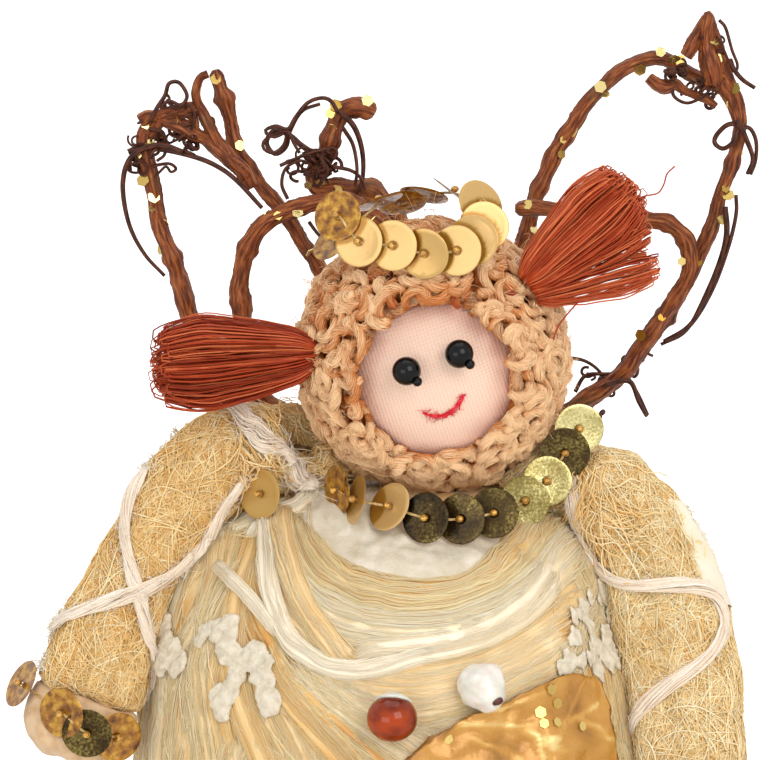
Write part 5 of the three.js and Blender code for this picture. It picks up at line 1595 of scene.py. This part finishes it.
def right_cuff_sequins():
    middle = cad_middle("cuff_right")
    middle[2] = cad_middle("cuff_sequins_right")[2]
    rows = []
    for k, kind in enumerate(RIGHT_CUFF_LOOKS):
        share = k / (len(RIGHT_CUFF_LOOKS) - 1)
        angle = math.radians(RIGHT_CUFF_START + RIGHT_CUFF_SPAN * share)
        out = np.array([math.sin(angle), -math.cos(angle), 0.15])
        rows.append((middle + out * RIGHT_CUFF_REACH, out, 0.85 - 0.1 * k, kind))
    add_sequins("cuff_sequins_gold_right", rows, ["cuff_sequins_right"], 124)


def loose_sequin():
    place = at_pixel(*LOOSE_SEQUIN, cad_middle("loose_sequin")[1])
    place = stood_clear(place, LOOSE_FACING, cad_tree("sleeve_left"), 0.5)
    add_sequins("shoulder_sequin", [(place, LOOSE_FACING, 0.72, GOLD)], ["loose_sequin"], 125, thread=False)


crown()
necklace()
left_cuff_sequins()
right_cuff_sequins()
loose_sequin()

# Wings. Each vine is in shares of its side's reach and of the wings' rise above the hub.
RIGHT_OUTER = [
    (0.12, 0.06), (0.3, 0.13), (0.51, 0.205), (0.6, 0.246), (0.68, 0.3), (0.757, 0.375), (0.817, 0.44),
    (0.872, 0.51), (0.93, 0.607), (0.977, 0.692), (1, 0.759), (0.992, 0.813), (0.955, 0.87), (0.922, 0.94),
    (0.89, 1)]
RIGHT_INNER = [
    (0.08, 0.1), (0.2, 0.3), (0.325, 0.528), (0.35, 0.578), (0.395, 0.658), (0.45, 0.739), (0.523, 0.805),
    (0.598, 0.86), (0.675, 0.889), (0.76, 0.899), (0.843, 0.873), (0.925, 0.837)]
RIGHT_LOOP = [
    (0.11, 0.06), (0.3, 0.135), (0.5, 0.21), (0.61, 0.262), (0.695, 0.33), (0.757, 0.389), (0.815, 0.446),
    (0.838, 0.503), (0.825, 0.547), (0.775, 0.58), (0.69, 0.586), (0.525, 0.604), (0.385, 0.611),
    (0.3, 0.607)]
LEFT_OUTER = [
    (0.12, 0.06), (0.32, 0.13), (0.567, 0.212), (0.664, 0.262), (0.772, 0.324), (0.842, 0.389),
    (0.904, 0.497), (0.956, 0.598), (0.98, 0.668), (1, 0.728), (0.97, 0.774), (0.874, 0.8),
    (0.784, 0.805)]
LEFT_INNER = [
    (0.16, 0.1), (0.27, 0.3), (0.357, 0.4625), (0.427, 0.531), (0.515, 0.604), (0.6, 0.6645), (0.67, 0.718),
    (0.69, 0.7785), (0.725, 0.839), (0.743, 0.878)]
LEFT_LOOP = [
    (0.12, 0.07), (0.32, 0.14), (0.567, 0.218), (0.626, 0.305), (0.652, 0.4055), (0.652, 0.466),
    (0.629, 0.528), (0.564, 0.58), (0.462, 0.6075), (0.348, 0.622), (0.231, 0.617), (0.105, 0.57)]
LEFT_STUB = [
    (0.05, 0.12), (0.02, 0.3), (0.04, 0.5), (0.14, 0.62), (0.266, 0.636), (0.3626, 0.64), (0.385, 0.667),
    (0.342, 0.706), (0.318, 0.752), (0.278, 0.79), (0.215, 0.8), (0.161, 0.788)]
# Vines: (shares, side, radius at the start, radius at the end)
VINES = {
    "wing_right_outer": (RIGHT_OUTER, 1, 1.15, 0.75), "wing_right_inner": (RIGHT_INNER, 1, 1.2, 0.85),
    "wing_right_loop": (RIGHT_LOOP, 1, 1.1, 0.95), "wing_left_outer": (LEFT_OUTER, -1, 1.2, 0.95),
    "wing_left_inner": (LEFT_INNER, -1, 1.15, 0.8), "wing_left_loop": (LEFT_LOOP, -1, 1.2, 1.05),
    "wing_left_stub": (LEFT_STUB, -1, 1.15, 1.15),
}
# Tendrils: the same shares, then how far each point stands ahead in vine radii
LEFT_HOOK = [(0.86, 0.72, 0), (0.95, 0.735, 0), (1.045, 0.713, 0), (1.08, 0.658, 0), (1.06, 0.578, 0),
             (1.005, 0.516, 0), (0.93, 0.47, 0)]
LEFT_CURL = [
    (0.348, 0.699, 0), (0.427, 0.728, 0), (0.471, 0.749, 0.1), (0.526, 0.76, 0.3), (0.556, 0.736, 0.5),
    (0.526, 0.713, 0.7), (0.485, 0.728, 0.85), (0.47, 0.76, 1), (0.427, 0.8, 1), (0.36, 0.815, 1)]
LEFT_BOW = [(0.295, 0.8, 0), (0.235, 0.765, 0), (0.205, 0.71, 0), (0.21, 0.65, 0.1), (0.255, 0.615, 0.2)]
RIGHT_HOOK = [(0.985, 0.785, 0), (1.012, 0.75, 0), (1.035, 0.708, 0), (1.018, 0.676, 0)]
RIGHT_BOW = [(0.95, 0.61, 0), (0.957, 0.56, 0), (0.942, 0.51, 0), (0.9, 0.44, 0), (0.835, 0.36, 0),
             (0.755, 0.33, 0)]
RIGHT_FOOT = [(0.58, 0.255, 0), (0.655, 0.262, 0), (0.685, 0.22, 0), (0.71, 0.19, 0)]
TENDRILS = {
    "tendril_left_hook": (LEFT_HOOK, -1),
    "tendril_left_curl": (LEFT_CURL, -1),
    "tendril_left_bow": (LEFT_BOW, -1),
    "tendril_right_hook": (RIGHT_HOOK, 1),
    "tendril_right_bow": (RIGHT_BOW, 1),
    "tendril_right_foot": (RIGHT_FOOT, 1)}
CAD_VINE_RADIUS = 1.1
PAD_LOW, PAD_HIGH = cad_box("wing_pad")
HUB_HEIGHT = (PAD_LOW[2] + PAD_HIGH[2]) / 2
REACH = {1: cad_box("wing_right_outer")[1][0] - CAD_VINE_RADIUS,
         -1: -cad_box("wing_left_outer")[0][0] - CAD_VINE_RADIUS}
RISE = cad_box("wing_right_outer")[1][2] - HUB_HEIGHT
# How far below the hub a vine starts
VINE_TAIL = 3.5
VINE_STEPS = 170
VINE_SIDES = 18
# A vine's whole length in millimetres, nearly, which sets the pitch of its ripples
VINE_RUN = 70
# Where a vine starts at the hub, to its side
VINE_FOOT = 1.25
VINE_FEET = {"wing_left_inner": 3.7}
KNOTS = 6
# As a share of the vine
KNOT_LENGTH = 0.011
TENDRIL_STEPS = 60
# How far in front of the back of its solid a tendril's line runs
TENDRIL_BACK = 0.32


def wobble(points, pitch, seed):
    """An uneven shift of every point, about -1 to 1 each way."""
    flat = points.reshape(-1, 3)
    return np.stack([ripple(flat, pitch, seed + k) for k in range(3)], axis=1).reshape(points.shape)


def wing_points(shares, side, depth):
    return [np.array([side * row[0] * REACH[side], depth, HUB_HEIGHT + row[1] * RISE]) for row in shares]


def vine(name, shares, side, thick, thin, seed):
    """A vine with bark ridges, knots and a cut end, in the plane of its solid."""
    rng = np.random.default_rng(seed)
    depth = cad_middle(name)[1]
    foot = side * VINE_FEET.get(name, VINE_FOOT)
    feet = [np.array([foot, depth, HUB_HEIGHT - VINE_TAIL]), np.array([foot, depth, HUB_HEIGHT])]
    line = spline(feet + wing_points(shares, side, depth), VINE_STEPS)
    share = np.linspace(0, 1, VINE_STEPS)
    run = share[:, None] * VINE_RUN * np.ones(3)
    line = line + 0.22 * wobble(run, 9, seed)
    knots = rng.uniform(0.12, 0.97, KNOTS)
    radius = thick + (thin - thick) * share
    radius = radius * (1 + 0.08 * ripple(run, 5, seed + 9))
    for knot in knots:
        radius = radius + rng.uniform(0.12, 0.34) * np.exp(-((share - knot) / KNOT_LENGTH) ** 2)
    radius[-2:] *= (0.9, 0.55)
    angle = TURN * np.arange(VINE_SIDES) / VINE_SIDES
    twist = share[:, None] * rng.uniform(4, 9)
    relief = 1 + 0.07 * np.sin(5 * angle + twist) + 0.05 * np.sin(9 * angle - 2 * twist + 1)
    relief = relief + 0.03 * rng.normal(size=relief.shape)
    add_tubes(name + "_bark", line[None], radius[None], VINE_SIDES, "bark", 0.5, [name],
              relief[None])
    return line, radius


def vines():
    """Every vine, and its line and radius for the flakes that stick to it."""
    return [vine(name, shares, side, thick, thin, 130 + 10 * k)
            for k, (name, (shares, side, thick, thin)) in enumerate(VINES.items())]


def tendrils():
    """The tendrils that the solids have."""
    for name, (shares, side) in TENDRILS.items():
        back = cad_box(name)[1][1] - TENDRIL_BACK
        points = [point - REARWARD * (row[2] * CAD_VINE_RADIUS)
                  for point, row in zip(wing_points(shares, side, back), shares)]
        line = spline(points, TENDRIL_STEPS)
        sizes = np.linspace(0.4, 0.22, TENDRIL_STEPS)
        add_tubes(name + "_stem", line[None], sizes[None], 8, "tendril", 0.5, [name])


# Extra tendrils that the solids leave out, in photograph pixels:
# clusters of [pixel, how many, spread, size of their loops], in millimetres
CURL_CLUSTERS = [((172, 118), 12, 1.5, 1.1), ((150, 135), 9, 1.1, 1.0), ((138, 160), 7, 0.35, 1.05),
                 ((186, 132), 8, 1.1, 1.0), ((322, 160), 15, 1.25, 1.25), ((305, 172), 6, 1.0, 1.2),
                 ((680, 80), 9, 1.4, 0.9), ((706, 92), 8, 1.0, 0.85), ((712, 50), 6, 1.0, 0.8),
                 ((600, 385), 8, 1.4, 1.1), ((630, 360), 5, 0.9, 0.9)]
# Single long tendrils: [radius, pixels]
LONG_TENDRILS = [
    (0.34, [(128, 152), (140, 148), (166, 150), (198, 158), (220, 168), (238, 182), (262, 208)]),
    (0.27, [
        (150, 122), (157, 108), (165, 95.5), (169, 83.6), (179, 82.6), (187, 95.5), (181, 105),
        (169, 101), (160, 108)]),
    (0.2,
     [(153, 165.7), (169, 163.7), (176, 168.6), (171, 172), (166, 166.6), (159, 172.6), (153, 178.5)]),
    (0.25, [(149, 129), (163, 133), (165, 153), (157, 161)]),
    (0.22, [(166, 100), (176, 108), (186, 104), (194, 112), (192, 128), (180, 138), (172, 142)]),
    (0.25, [
        (338, 113), (331, 101), (321, 98), (307.5, 103), (295.6, 117), (287.7, 129), (275.8, 126),
        (265, 131), (274, 137), (285.7, 133), (283.7, 145), (273.9, 152.8), (264, 149), (264, 141),
        (273.9, 135), (287.7, 131), (293.6, 143), (299.6, 153)]),
    (0.25, [(343, 128), (353, 145), (357, 168.6), (355, 186)]),
    (0.22, [(287.7, 199), (281.8, 184.4), (285.7, 168.6), (299.6, 160.7), (311, 164.7)]),
    (0.22, [(279.8, 165.7), (295.6, 158.7), (311.4, 152.8), (327, 149)]),
    (0.24, [(333, 166.6), (351, 170.6), (361, 178.5), (365, 190)]),
    (0.22, [(673.5, 80), (673.5, 95.4), (686.5, 103), (701.7, 97.6), (710, 90)]),
    (0.2, [(719, 20), (725.6, 28), (732, 50), (737.5, 65), (734, 71.6), (725.6, 54), (720, 40)]),
    (0.32, [(730, 60), (734, 69.4), (743, 80), (755, 88)]),
    (0.3, [
        (742, 124), (727.8, 124.7), (717, 134.5), (714.7, 143), (723.4, 148.6), (734, 141), (738.6, 130),
        (749.4, 128), (756, 141), (755.5, 160.5), (750.5, 174.6)]),
    (0.22, [(565, 357), (585, 361), (600, 372), (608, 388)]),
    (0.24, [(575, 392), (585, 376), (603, 374), (625, 376), (637, 392), (648, 415)]),
    (0.3, [(664, 342), (690, 325), (712, 290), (728, 248), (736, 215), (736, 195)]),
    (0.22, [(309, 222), (318, 234), (328, 243), (334, 238)])]
# Short branches of bark: [radius at the start, radius at the end, pixels]
BRANCHES = [
    (1.0, 0.6,
     [(252, 186), (238, 166), (222, 146), (208, 126), (199, 104), (197, 88), (200, 77), (208, 73)]),
    (1.0, 0.8, [(246, 178), (230, 158), (208, 140), (188, 131), (170, 122), (150, 116), (140, 121)]),
    (0.8, 0.5, [(150, 135), (160, 120), (176, 112), (190, 118), (196, 132)]),
    (1.35, 0.7, [(716, 84), (708, 60), (707, 36), (708, 13)]),
    (0.9, 0.6, [(684, 56), (694, 42), (706, 16)]),
    (0.8, 0.45, [(650, 78), (663, 88), (676, 84), (690, 92), (706, 98), (716, 108)]),
    (0.9, 0.7, [(722, 80), (728, 96), (732, 112), (738, 126)])]
CURL_STEPS = 34
LONG_STEPS = 64
BRANCH_STEPS = 50
BRANCH_SIDES = 14


def curl(start, axis, size, turns, length, rng):
    """A tendril that leaves a vine and winds up in shrinking loops."""
    side = unit(np.cross(axis, rng.normal(size=3)))
    up = np.cross(axis, side)
    angle = np.linspace(0, TURN * turns, CURL_STEPS)
    grow = np.linspace(0.2, 1, CURL_STEPS) ** 0.7
    loops = side * (np.cos(angle) * grow - grow[0])[:, None] + up * (np.sin(angle) * grow)[:, None]
    return start + axis * (length * np.linspace(0, 1, CURL_STEPS))[:, None] + loops * size


def tendril_clusters(depth, rng):
    """Nests of curled tendrils on the vines."""
    curls = []
    for pixel, count, spread, size in CURL_CLUSTERS:
        middle = at_pixel(*pixel, depth + 1.0)
        for _ in range(count):
            start = middle + rng.normal(0, spread, 3) * np.array([1, 0.45, 1])
            axis = unit(rng.normal(size=3) * np.array([0.7, 1, 0.7]))
            curls.append(curl(start, axis, size * rng.uniform(0.5, 1.1), rng.uniform(0.8, 1.7),
                              rng.uniform(0.4, 1.8), rng))
    sizes = rng.uniform(0.14, 0.24, len(curls))
    add_tubes("tendril_clusters", curls, sizes, 7, "tendril")


def tendril_strays(depth):
    """Long single tendrils that the solids leave out."""
    paths = [spline([at_pixel(px, py, depth - 0.2 + 0.5 * math.sin(px)) for px, py in pixels], LONG_STEPS)
             for _, pixels in LONG_TENDRILS]
    sizes = np.array([radius for radius, _ in LONG_TENDRILS])[:, None] * np.linspace(1.1, 0.8, LONG_STEPS)
    add_tubes("tendril_strays", paths, sizes, 8, "tendril")


def branches(depth, rng):
    """Short branches of bark, with ridges."""
    stems = np.array([flat_line(pixels, depth + 0.6, BRANCH_STEPS) for _, _, pixels in BRANCHES])
    stems = stems + 0.18 * wobble(stems, 4, 145)
    sizes = np.array([np.linspace(thick, thin, BRANCH_STEPS) for thick, thin, _ in BRANCHES])
    sizes = sizes * (1 + 0.16 * ripple(stems.reshape(-1, 3), 3, 148).reshape(sizes.shape))
    angle = TURN * np.arange(BRANCH_SIDES) / BRANCH_SIDES
    ridges = 0.09 * np.sin(4 * angle + np.linspace(0, 5, BRANCH_STEPS)[:, None])
    relief = 1 + ridges + 0.03 * rng.normal(size=(BRANCH_STEPS, BRANCH_SIDES))
    add_tubes("wing_branches", stems, sizes, BRANCH_SIDES, "bark", 0.5, (), relief[None])


def extra_twigs():
    rng = np.random.default_rng(141)
    depth = cad_box("wing_left_outer")[0][1]
    tendril_clusters(depth, rng)
    tendril_strays(depth)
    branches(depth, rng)


# Flakes of glitter, in photograph pixels, and how many more lie round the vines

FLAKE_PIXELS = [
    (141, 122), (145, 127), (214.5, 84.6), (177, 134), (239, 151), (153, 200), (151, 212), (131.5, 186),
    (307.5, 107), (333, 108), (307.5, 191), (320, 189), (278, 216), (297.6, 212), (368, 103), (137, 158),
    (722, 80), (736, 91), (722, 96), (724, 110), (730, 112), (677, 66), (692, 53), (716, 42), (717, 62),
    (565, 145), (563, 160), (610, 102), (575, 138), (700, 266), (679, 262), (656, 335), (528, 205),
    (535, 236), (664, 52), (685, 76), (648, 87), (602, 92), (736, 200), (728, 225), (662, 318),
    (640, 335), (150, 145)]
LOOSE_FLAKES = 46
FLAKE_SIDES = 6
FLAKE_HALF = 0.05
# The first points of a vine, which the glue pad hides
HIDDEN_STEPS = 20


def hexagons(name, places, normals, sizes, tones):
    """Thin six-sided flakes, lying across their normals."""
    grids = []
    for place, normal, size in zip(places, normals, sizes):
        side = unit(np.cross(normal, np.array([0.3, 0.5, 0.8])))
        up = np.cross(normal, side)
        angle = round_of(FLAKE_SIDES)
        ring = (side * np.cos(angle)[:, None] + up * np.sin(angle)[:, None]) * size
        grids.append(np.array([place + ring + normal * FLAKE_HALF, place + ring - normal * FLAKE_HALF]))
    values = {"tone": np.repeat(tones, 2 * FLAKE_SIDES)}
    add_piece(name, joined(name, grids, values, smooth=False), "flake")


def glitter(vine_lines):
    """Flakes where the photograph shows them, on the nearest vine, and others all round the vines."""
    rng = np.random.default_rng(151)
    depth = cad_box("wing_left_loop")[0][1]
    normals = [unit(np.array([0, -1.0, 0.2]) + rng.normal(0, 0.35, 3)) for _ in FLAKE_PIXELS]
    lines = np.concatenate([line[HIDDEN_STEPS:] for line, _ in vine_lines])
    sizes = np.concatenate([radius[HIDDEN_STEPS:] for _, radius in vine_lines])
    places = []
    for pixel in FLAKE_PIXELS:
        place = at_pixel(*pixel, depth - 0.1)
        gap = np.linalg.norm((lines - place)[:, [0, 2]], axis=1)
        k = gap.argmin()
        beside = (place - lines[k]) * np.array([1, 0, 1]) * min(1, sizes[k] / max(gap[k], 0.1))
        places.append(lines[k] + beside + np.array([0, -sizes[k] - 0.05, 0]) * 0.9)
    for _ in range(LOOSE_FLAKES):
        k = rng.integers(len(lines))
        way = unit(rng.normal(size=3) * np.array([1, 1.2, 1]))
        places.append(lines[k] + way * sizes[k] * 1.02)
        normals.append(unit(way + rng.normal(0, 0.25, 3)))
    sizes = rng.uniform(0.5, 0.85, len(places))
    tones = rng.uniform(0.15, 1, len(places))
    hexagons("vine_flakes", places, normals, sizes, tones)


def glue_pad():
    mesh = soft_copy("wing_pad", "glue_pad", 0.5, 0.35, 4, 161)
    add_piece("glue_pad", mesh, "glue", ["wing_pad"])


VINE_LINES = vines()
tendrils()
extra_twigs()
glitter(VINE_LINES)
glue_pad()

# Trims on the front: the foil leaf, the beads, the berry and the torn cotton

LEAF_LENGTH = 40
LEAF_WIDTH = 26
LEAF_LEAN = math.radians(31)
LEAF_MIDDLE = (8.8, 65.0)
LEAF_WIDTHS = [(0, 0.04), (0.1, 0.22), (0.2, 0.38), (0.35, 0.5), (0.56, 0.5), (0.66, 0.465), (0.74, 0.4),
               (0.82, 0.31), (0.9, 0.21), (0.95, 0.15), (0.985, 0.08), (1, 0.03)]
# Creases in the foil, in photograph pixels; they are raised, and lighter as painted highlight
LEAF_CREASES = [
    [(444, 724), (478, 712), (518, 702), (548, 690)],
    [(444, 724), (478, 725), (512, 727), (535, 736), (552, 741)],
    [(517, 727), (558, 725), (575, 718), (592, 706)],
    [(519, 729), (547, 745), (560, 752)],
    [(574, 722), (590, 729), (604, 741)],
    [(535, 736), (540, 760)],
    [(470, 740), (500, 752), (520, 762)]]
LEAF_ROWS = 90
LEAF_COLUMNS = 50
# The leaf's other side is this much wider
LEAF_UNEVEN = 0.09
LEAF_THICK = 0.22
LEAF_LIFT = 0.95
CREASE_WIDTH = 0.3
# Where the rays that find the body start, and the depth of the leaf where they miss it
RAY_START, RAY_MISS = -80, -20
LEAF_FLAKES = [(550, 690), (557, 704), (545, 722), (556, 722), (582, 728), (449, 741), (540, 714)]
AMBER_RISE = np.array([0, 0, 0.7])
AMBER_SHAPE = np.array([1.02, 1, 0.94])
AMBER_CAP_WAY = np.array([0.1, 0.5, 0.86])
SEED_PLACE = np.array([1.4, -2.1, -1.05])
SEED_SHAPE = np.array([1.3, 0.8, 0.8])


def leaf_ground(share, side):
    """The leaf's points on the body, straight behind its outline."""
    widths = np.interp(share, *zip(*LEAF_WIDTHS)) * LEAF_WIDTH
    along = (share - 0.5) * LEAF_LENGTH * np.ones_like(side)
    wide = side * widths * (1 + LEAF_UNEVEN * (side < 0))
    across = LEAF_MIDDLE[0] + along * math.sin(LEAF_LEAN) + wide * math.cos(LEAF_LEAN)
    up = LEAF_MIDDLE[1] + along * math.cos(LEAF_LEAN) - wide * math.sin(LEAF_LEAN)
    ground = np.empty((*along.shape, 3))
    for spot in np.ndindex(along.shape):
        place = BODY.ray_cast(Vector((across[spot], RAY_START, up[spot])), Vector(REARWARD))[0]
        ground[spot] = place or (across[spot], RAY_MISS, up[spot])
    return ground


def leaf_folds(ground):
    """How near each point is to a crease: 1 on it, 0 away from it."""
    folds = np.zeros(ground.shape[:2])
    for pixels in LEAF_CREASES:
        line = seen_line(BODY, pixels, 30)
        gap = np.linalg.norm(ground[:, :, None] - line, axis=3).min(axis=2)
        folds = np.maximum(folds, np.exp(-(gap / CREASE_WIDTH) ** 2))
    return folds


def two_sided(top, bottom, name, values):
    """A closed sheet from two grids of points, joined round their rim."""
    index = np.arange(top.shape[0] * top.shape[1]).reshape(top.shape[:2])
    quads = quads_of(index[:-1, :-1], index[:-1, 1:], index[1:, 1:], index[1:, :-1])
    rim = np.concatenate([index[1:, 0], index[-1, 1:], index[-2::-1, -1], index[0, -2::-1]])
    after = np.roll(rim, -1)
    edge = np.stack([rim, after, after + index.size, rim + index.size], axis=1)
    faces = np.concatenate([quads, quads[:, ::-1] + index.size, edge])
    return build_mesh(name, np.concatenate([top, bottom]), [faces], values)


def leaf():
    """A creased leaf of foil that lies on the bodice, with a raised midrib and side veins."""
    share = np.linspace(0, 1, LEAF_ROWS)[:, None]
    side = np.linspace(-1, 1, LEAF_COLUMNS)[None, :]
    ground = leaf_ground(share, side)
    veins = np.cos(TURN * (share * 6 - np.abs(side) * 1.4)) ** 6 * 0.08
    rib = 0.28 * np.exp(-(side / 0.05) ** 2)
    crease = 0.22 * np.clip(ripple(ground, 8, 171), -1, 1) + 0.05 * ripple(ground, 2.5, 172)
    folds = leaf_folds(ground)
    rise = LEAF_LIFT + 0.5 * veins + 0.4 * rib + crease + 0.35 * np.abs(side) ** 3 + 0.3 * folds
    top = draped(BODY, ground, rise)
    bottom = draped(BODY, ground, rise - LEAF_THICK)
    # Painted highlight: lighter along the creases; also a slightly lighter midrib and a darker rim.
    tone = 0.15 * np.exp(-(np.abs(side) / 0.05) ** 2) + 0.4 * folds - 0.5 * (np.abs(side) > 0.975) + 0.05
    mesh = two_sided(top, bottom, "foil_leaf", {"tone": np.concatenate([tone, tone])})
    add_piece("foil_leaf", mesh, "foil", ["gold_leaf"])
    return top.reshape(-1, 3)


def leaf_flakes(points):
    """Glitter on the leaf, at its point nearest to each pixel's ray."""
    rng = np.random.default_rng(175)
    places, normals = [], []
    for pixel in LEAF_FLAKES:
        gaps = np.linalg.norm(np.cross(points - CAMERA_PLACE, pixel_ray(*pixel)), axis=1)
        spot = points[gaps.argmin()]
        normals.append(normal_at(BODY, spot))
        places.append(spot + normals[-1] * 0.12)
    sizes = rng.uniform(0.6, 0.8, len(places))
    tones = rng.uniform(0.4, 0.62, len(places))
    hexagons("leaf_flakes", places, normals, sizes, tones)


def middle_and_radius(name):
    low, high = cad_box(name)
    return (low + high) / 2, (high - low).max() / 2


def amber_bead():
    """The amber drop, and the pale cap on it."""
    middle, radius = middle_and_radius("amber_bead")
    middle = middle + AMBER_RISE
    grid = middle + ball_grid(radius, 32, 48) * AMBER_SHAPE
    add_piece("amber_drop", joined("amber_drop", [grid]), "amber", ["amber_bead"])
    pole = unit(AMBER_CAP_WAY)
    side = unit(np.cross(pole, VIEW_RIGHT))
    over = np.cross(pole, side)
    rings = [middle + polar(tilts, round_of(48), pole, side, over) * radius * reach
             for reach, tilts in ((1.05, np.linspace(0.03, 0.78, 14)), (0.9, np.linspace(0.78, 0.03, 14)))]
    add_piece("amber_cap", joined("amber_cap", [np.concatenate(rings)]), "berry")


def berry():
    """A lumpy white berry, with the dark seed that shows in it."""
    centre, radius = middle_and_radius("white_berry")
    grid = ball_grid(radius, 40, 56)
    grid = centre + grid * (1 + 0.09 * ripple(grid, 3.4, 181) + 0.03 * ripple(grid, 1.2, 182))[..., None]
    add_piece("berry_skin", joined("berry_skin", [grid]), "berry", ["white_berry"])
    seed = centre + SEED_PLACE + ball_grid(0.75, 14, 18) * SEED_SHAPE
    add_piece("berry_seed", joined("berry_seed", [seed]), "seed")


# Torn cotton: [node, size, stretch down, pixels of its lumps]
COTTON = {
    "cotton_left": ("tuft_left", 1.75, 1.15,
                    [(166, 632), (165, 641), (172, 648), (164, 655), (176, 660), (184, 665), (168, 664)]),
    "cotton_middle": ("tuft_middle", 1.4, 1.2, [
        (211, 632), (222, 636), (232, 634), (225, 648), (238, 656), (250, 660), (262, 655), (266, 668),
        (268, 682), (266, 696), (272, 702), (236, 688), (228, 700), (240, 676), (226, 708)]),
    "cotton_right": ("tuft_right", 0.75, 2.2, [
        (596, 590), (600, 600), (580, 606), (576, 618), (608, 620), (604, 636), (588, 634), (572, 640),
        (598, 652), (610, 660), (584, 658), (570, 662), (596, 672), (560, 668), (590, 646)])}
COTTON_LUMPS = 5
COTTON_SPREAD = 3.2
COTTON_FLAT = 0.62
COTTON_LIFT = 0.75
COTTON_VOXEL = 0.17
COTTON_PASSES = 8


def cotton_blobs(pixels, scale, stretch, rng):
    """Flattened blobs on the body, a handful at each pixel."""
    grids = []
    for px, py in pixels:
        for _ in range(COTTON_LUMPS):
            spot = seen_at(BODY, px + rng.normal(0, COTTON_SPREAD), py + rng.normal(0, COTTON_SPREAD))
            normal = normal_at(BODY, spot)
            grid = ball_grid(scale * rng.uniform(0.45, 1.0), 12, 16) * np.array([1, 1, stretch])
            grid = grid - normal * (grid @ normal)[..., None] * COTTON_FLAT
            grids.append(spot + normal * COTTON_LIFT + grid)
    return grids


def cotton():
    """Flat torn lumps, each a handful of blobs melted together."""
    for k, (name, (node_name, scale, stretch, pixels)) in enumerate(COTTON.items()):
        grids = cotton_blobs(pixels, scale, stretch, np.random.default_rng(191 + k))
        raw = in_scene(name + "_raw", joined(name + "_raw", grids))
        shaped = melted(raw, name, COTTON_VOXEL, COTTON_PASSES)
        places = np.array([v.co for v in shaped.vertices]) / MM
        normals = np.array([v.vector for v in shaped.vertex_normals])
        places += normals * (0.2 * ripple(places, 1.6, 195 + k) + 0.06 * ripple(places, 0.5, 196))[:, None]
        add_piece(name, reshaped(shaped, places), "cotton", [node_name])


amber_bead()
berry()
cotton()
leaf_flakes(leaf())

# What the solids already show well keeps its shape and gets its material

CARRIED = {"base_disc": "card", "foam_cone": "foam", "head_ball": "foam", "neck_skewer": "bamboo",
           "arm_wire": "wire"}


def carry():
    for node_name, look in CARRIED.items():
        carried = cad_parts[node_name].data
        carried.materials.clear()
        carried.materials.append(LOOKS[look])


carry()

# Stage and light

FLOOR_SIDE = 12000
FLOOR_COLOUR = "f4f3f1"
FLOOR_ROUGHNESS = 0.9
# Light that the floor gives off towards the camera only
FLOOR_GLOW = 0.7
# Each lamp: name, place, side and power
LAMPS = [
    ("key", (460, -820, 640), 620, 4.6),
    ("fill", (-480, -820, 90), 620, 2.7),
    ("top", (0, 120, 900), 700, 1.6)]
LAMP_AIM = (0, 0, 100)
# The sky's strength on the figurine, and where the camera, a reflection or a clear body shows it
SKY_LIGHT, SKY_SEEN = 0.68, 1.0


def floor_look():
    """A floor that takes shadows, and is nearly white to the camera."""
    material = bpy.data.materials.new("floor")
    material.use_nodes = True
    tree = material.node_tree
    shader = tree.nodes["Principled BSDF"]
    shader.inputs["Base Color"].default_value = rgb(FLOOR_COLOUR)
    shader.inputs["Roughness"].default_value = FLOOR_ROUGHNESS
    path = node(tree, "LightPath").outputs["Is Camera Ray"]
    glow = node(tree, "Emission", {"Color": rgb("ffffff"), "Strength": FLOOR_GLOW})
    seen = node(tree, "AddShader", {0: shader.outputs[0], 1: glow.outputs[0]})
    pick = node(tree, "MixShader", {"Fac": path, 1: shader.outputs[0], 2: seen.outputs[0]})
    tree.links.new(pick.outputs[0], tree.nodes["Material Output"].inputs["Surface"])
    return material


def stage():
    half = FLOOR_SIDE / 2
    corners = [(-half, -half, 0), (half, -half, 0), (half, half, 0), (-half, half, 0)]
    mesh = build_mesh("floor", corners, [[(0, 1, 2, 3)]], smooth=False)
    floor = in_scene("floor", mesh)
    mesh.materials.append(floor_look())


def lamps():
    for name, place, side, power in LAMPS:
        data = bpy.data.lights.new(name, "AREA")
        data.size = side * MM
        data.energy = power
        lamp = in_scene(name, data)
        lamp.location = Vector(place) * MM
        aim = Vector(LAMP_AIM) * MM - lamp.location
        lamp.rotation_euler = aim.to_track_quat("-Z", "Y").to_euler()


def sky():
    """A white world that is brighter to the camera than to the figurine."""
    world = bpy.data.worlds.new("studio")
    world.use_nodes = True
    tree = world.node_tree
    rays = node(tree, "LightPath")
    seen = sums(tree, rays.outputs["Is Camera Ray"], rays.outputs["Is Glossy Ray"], "MAXIMUM")
    seen = sums(tree, seen, rays.outputs["Is Transmission Ray"], "MAXIMUM")
    strength = node(tree, "MapRange", {"Value": seen, "To Min": SKY_LIGHT, "To Max": SKY_SEEN})
    tree.nodes["Background"].inputs["Color"].default_value = rgb("ffffff")
    tree.links.new(strength.outputs["Result"], tree.nodes["Background"].inputs["Strength"])
    bpy.context.scene.world = world
    bpy.context.scene.view_settings.view_transform = "Standard"


stage()
lamps()
sky()
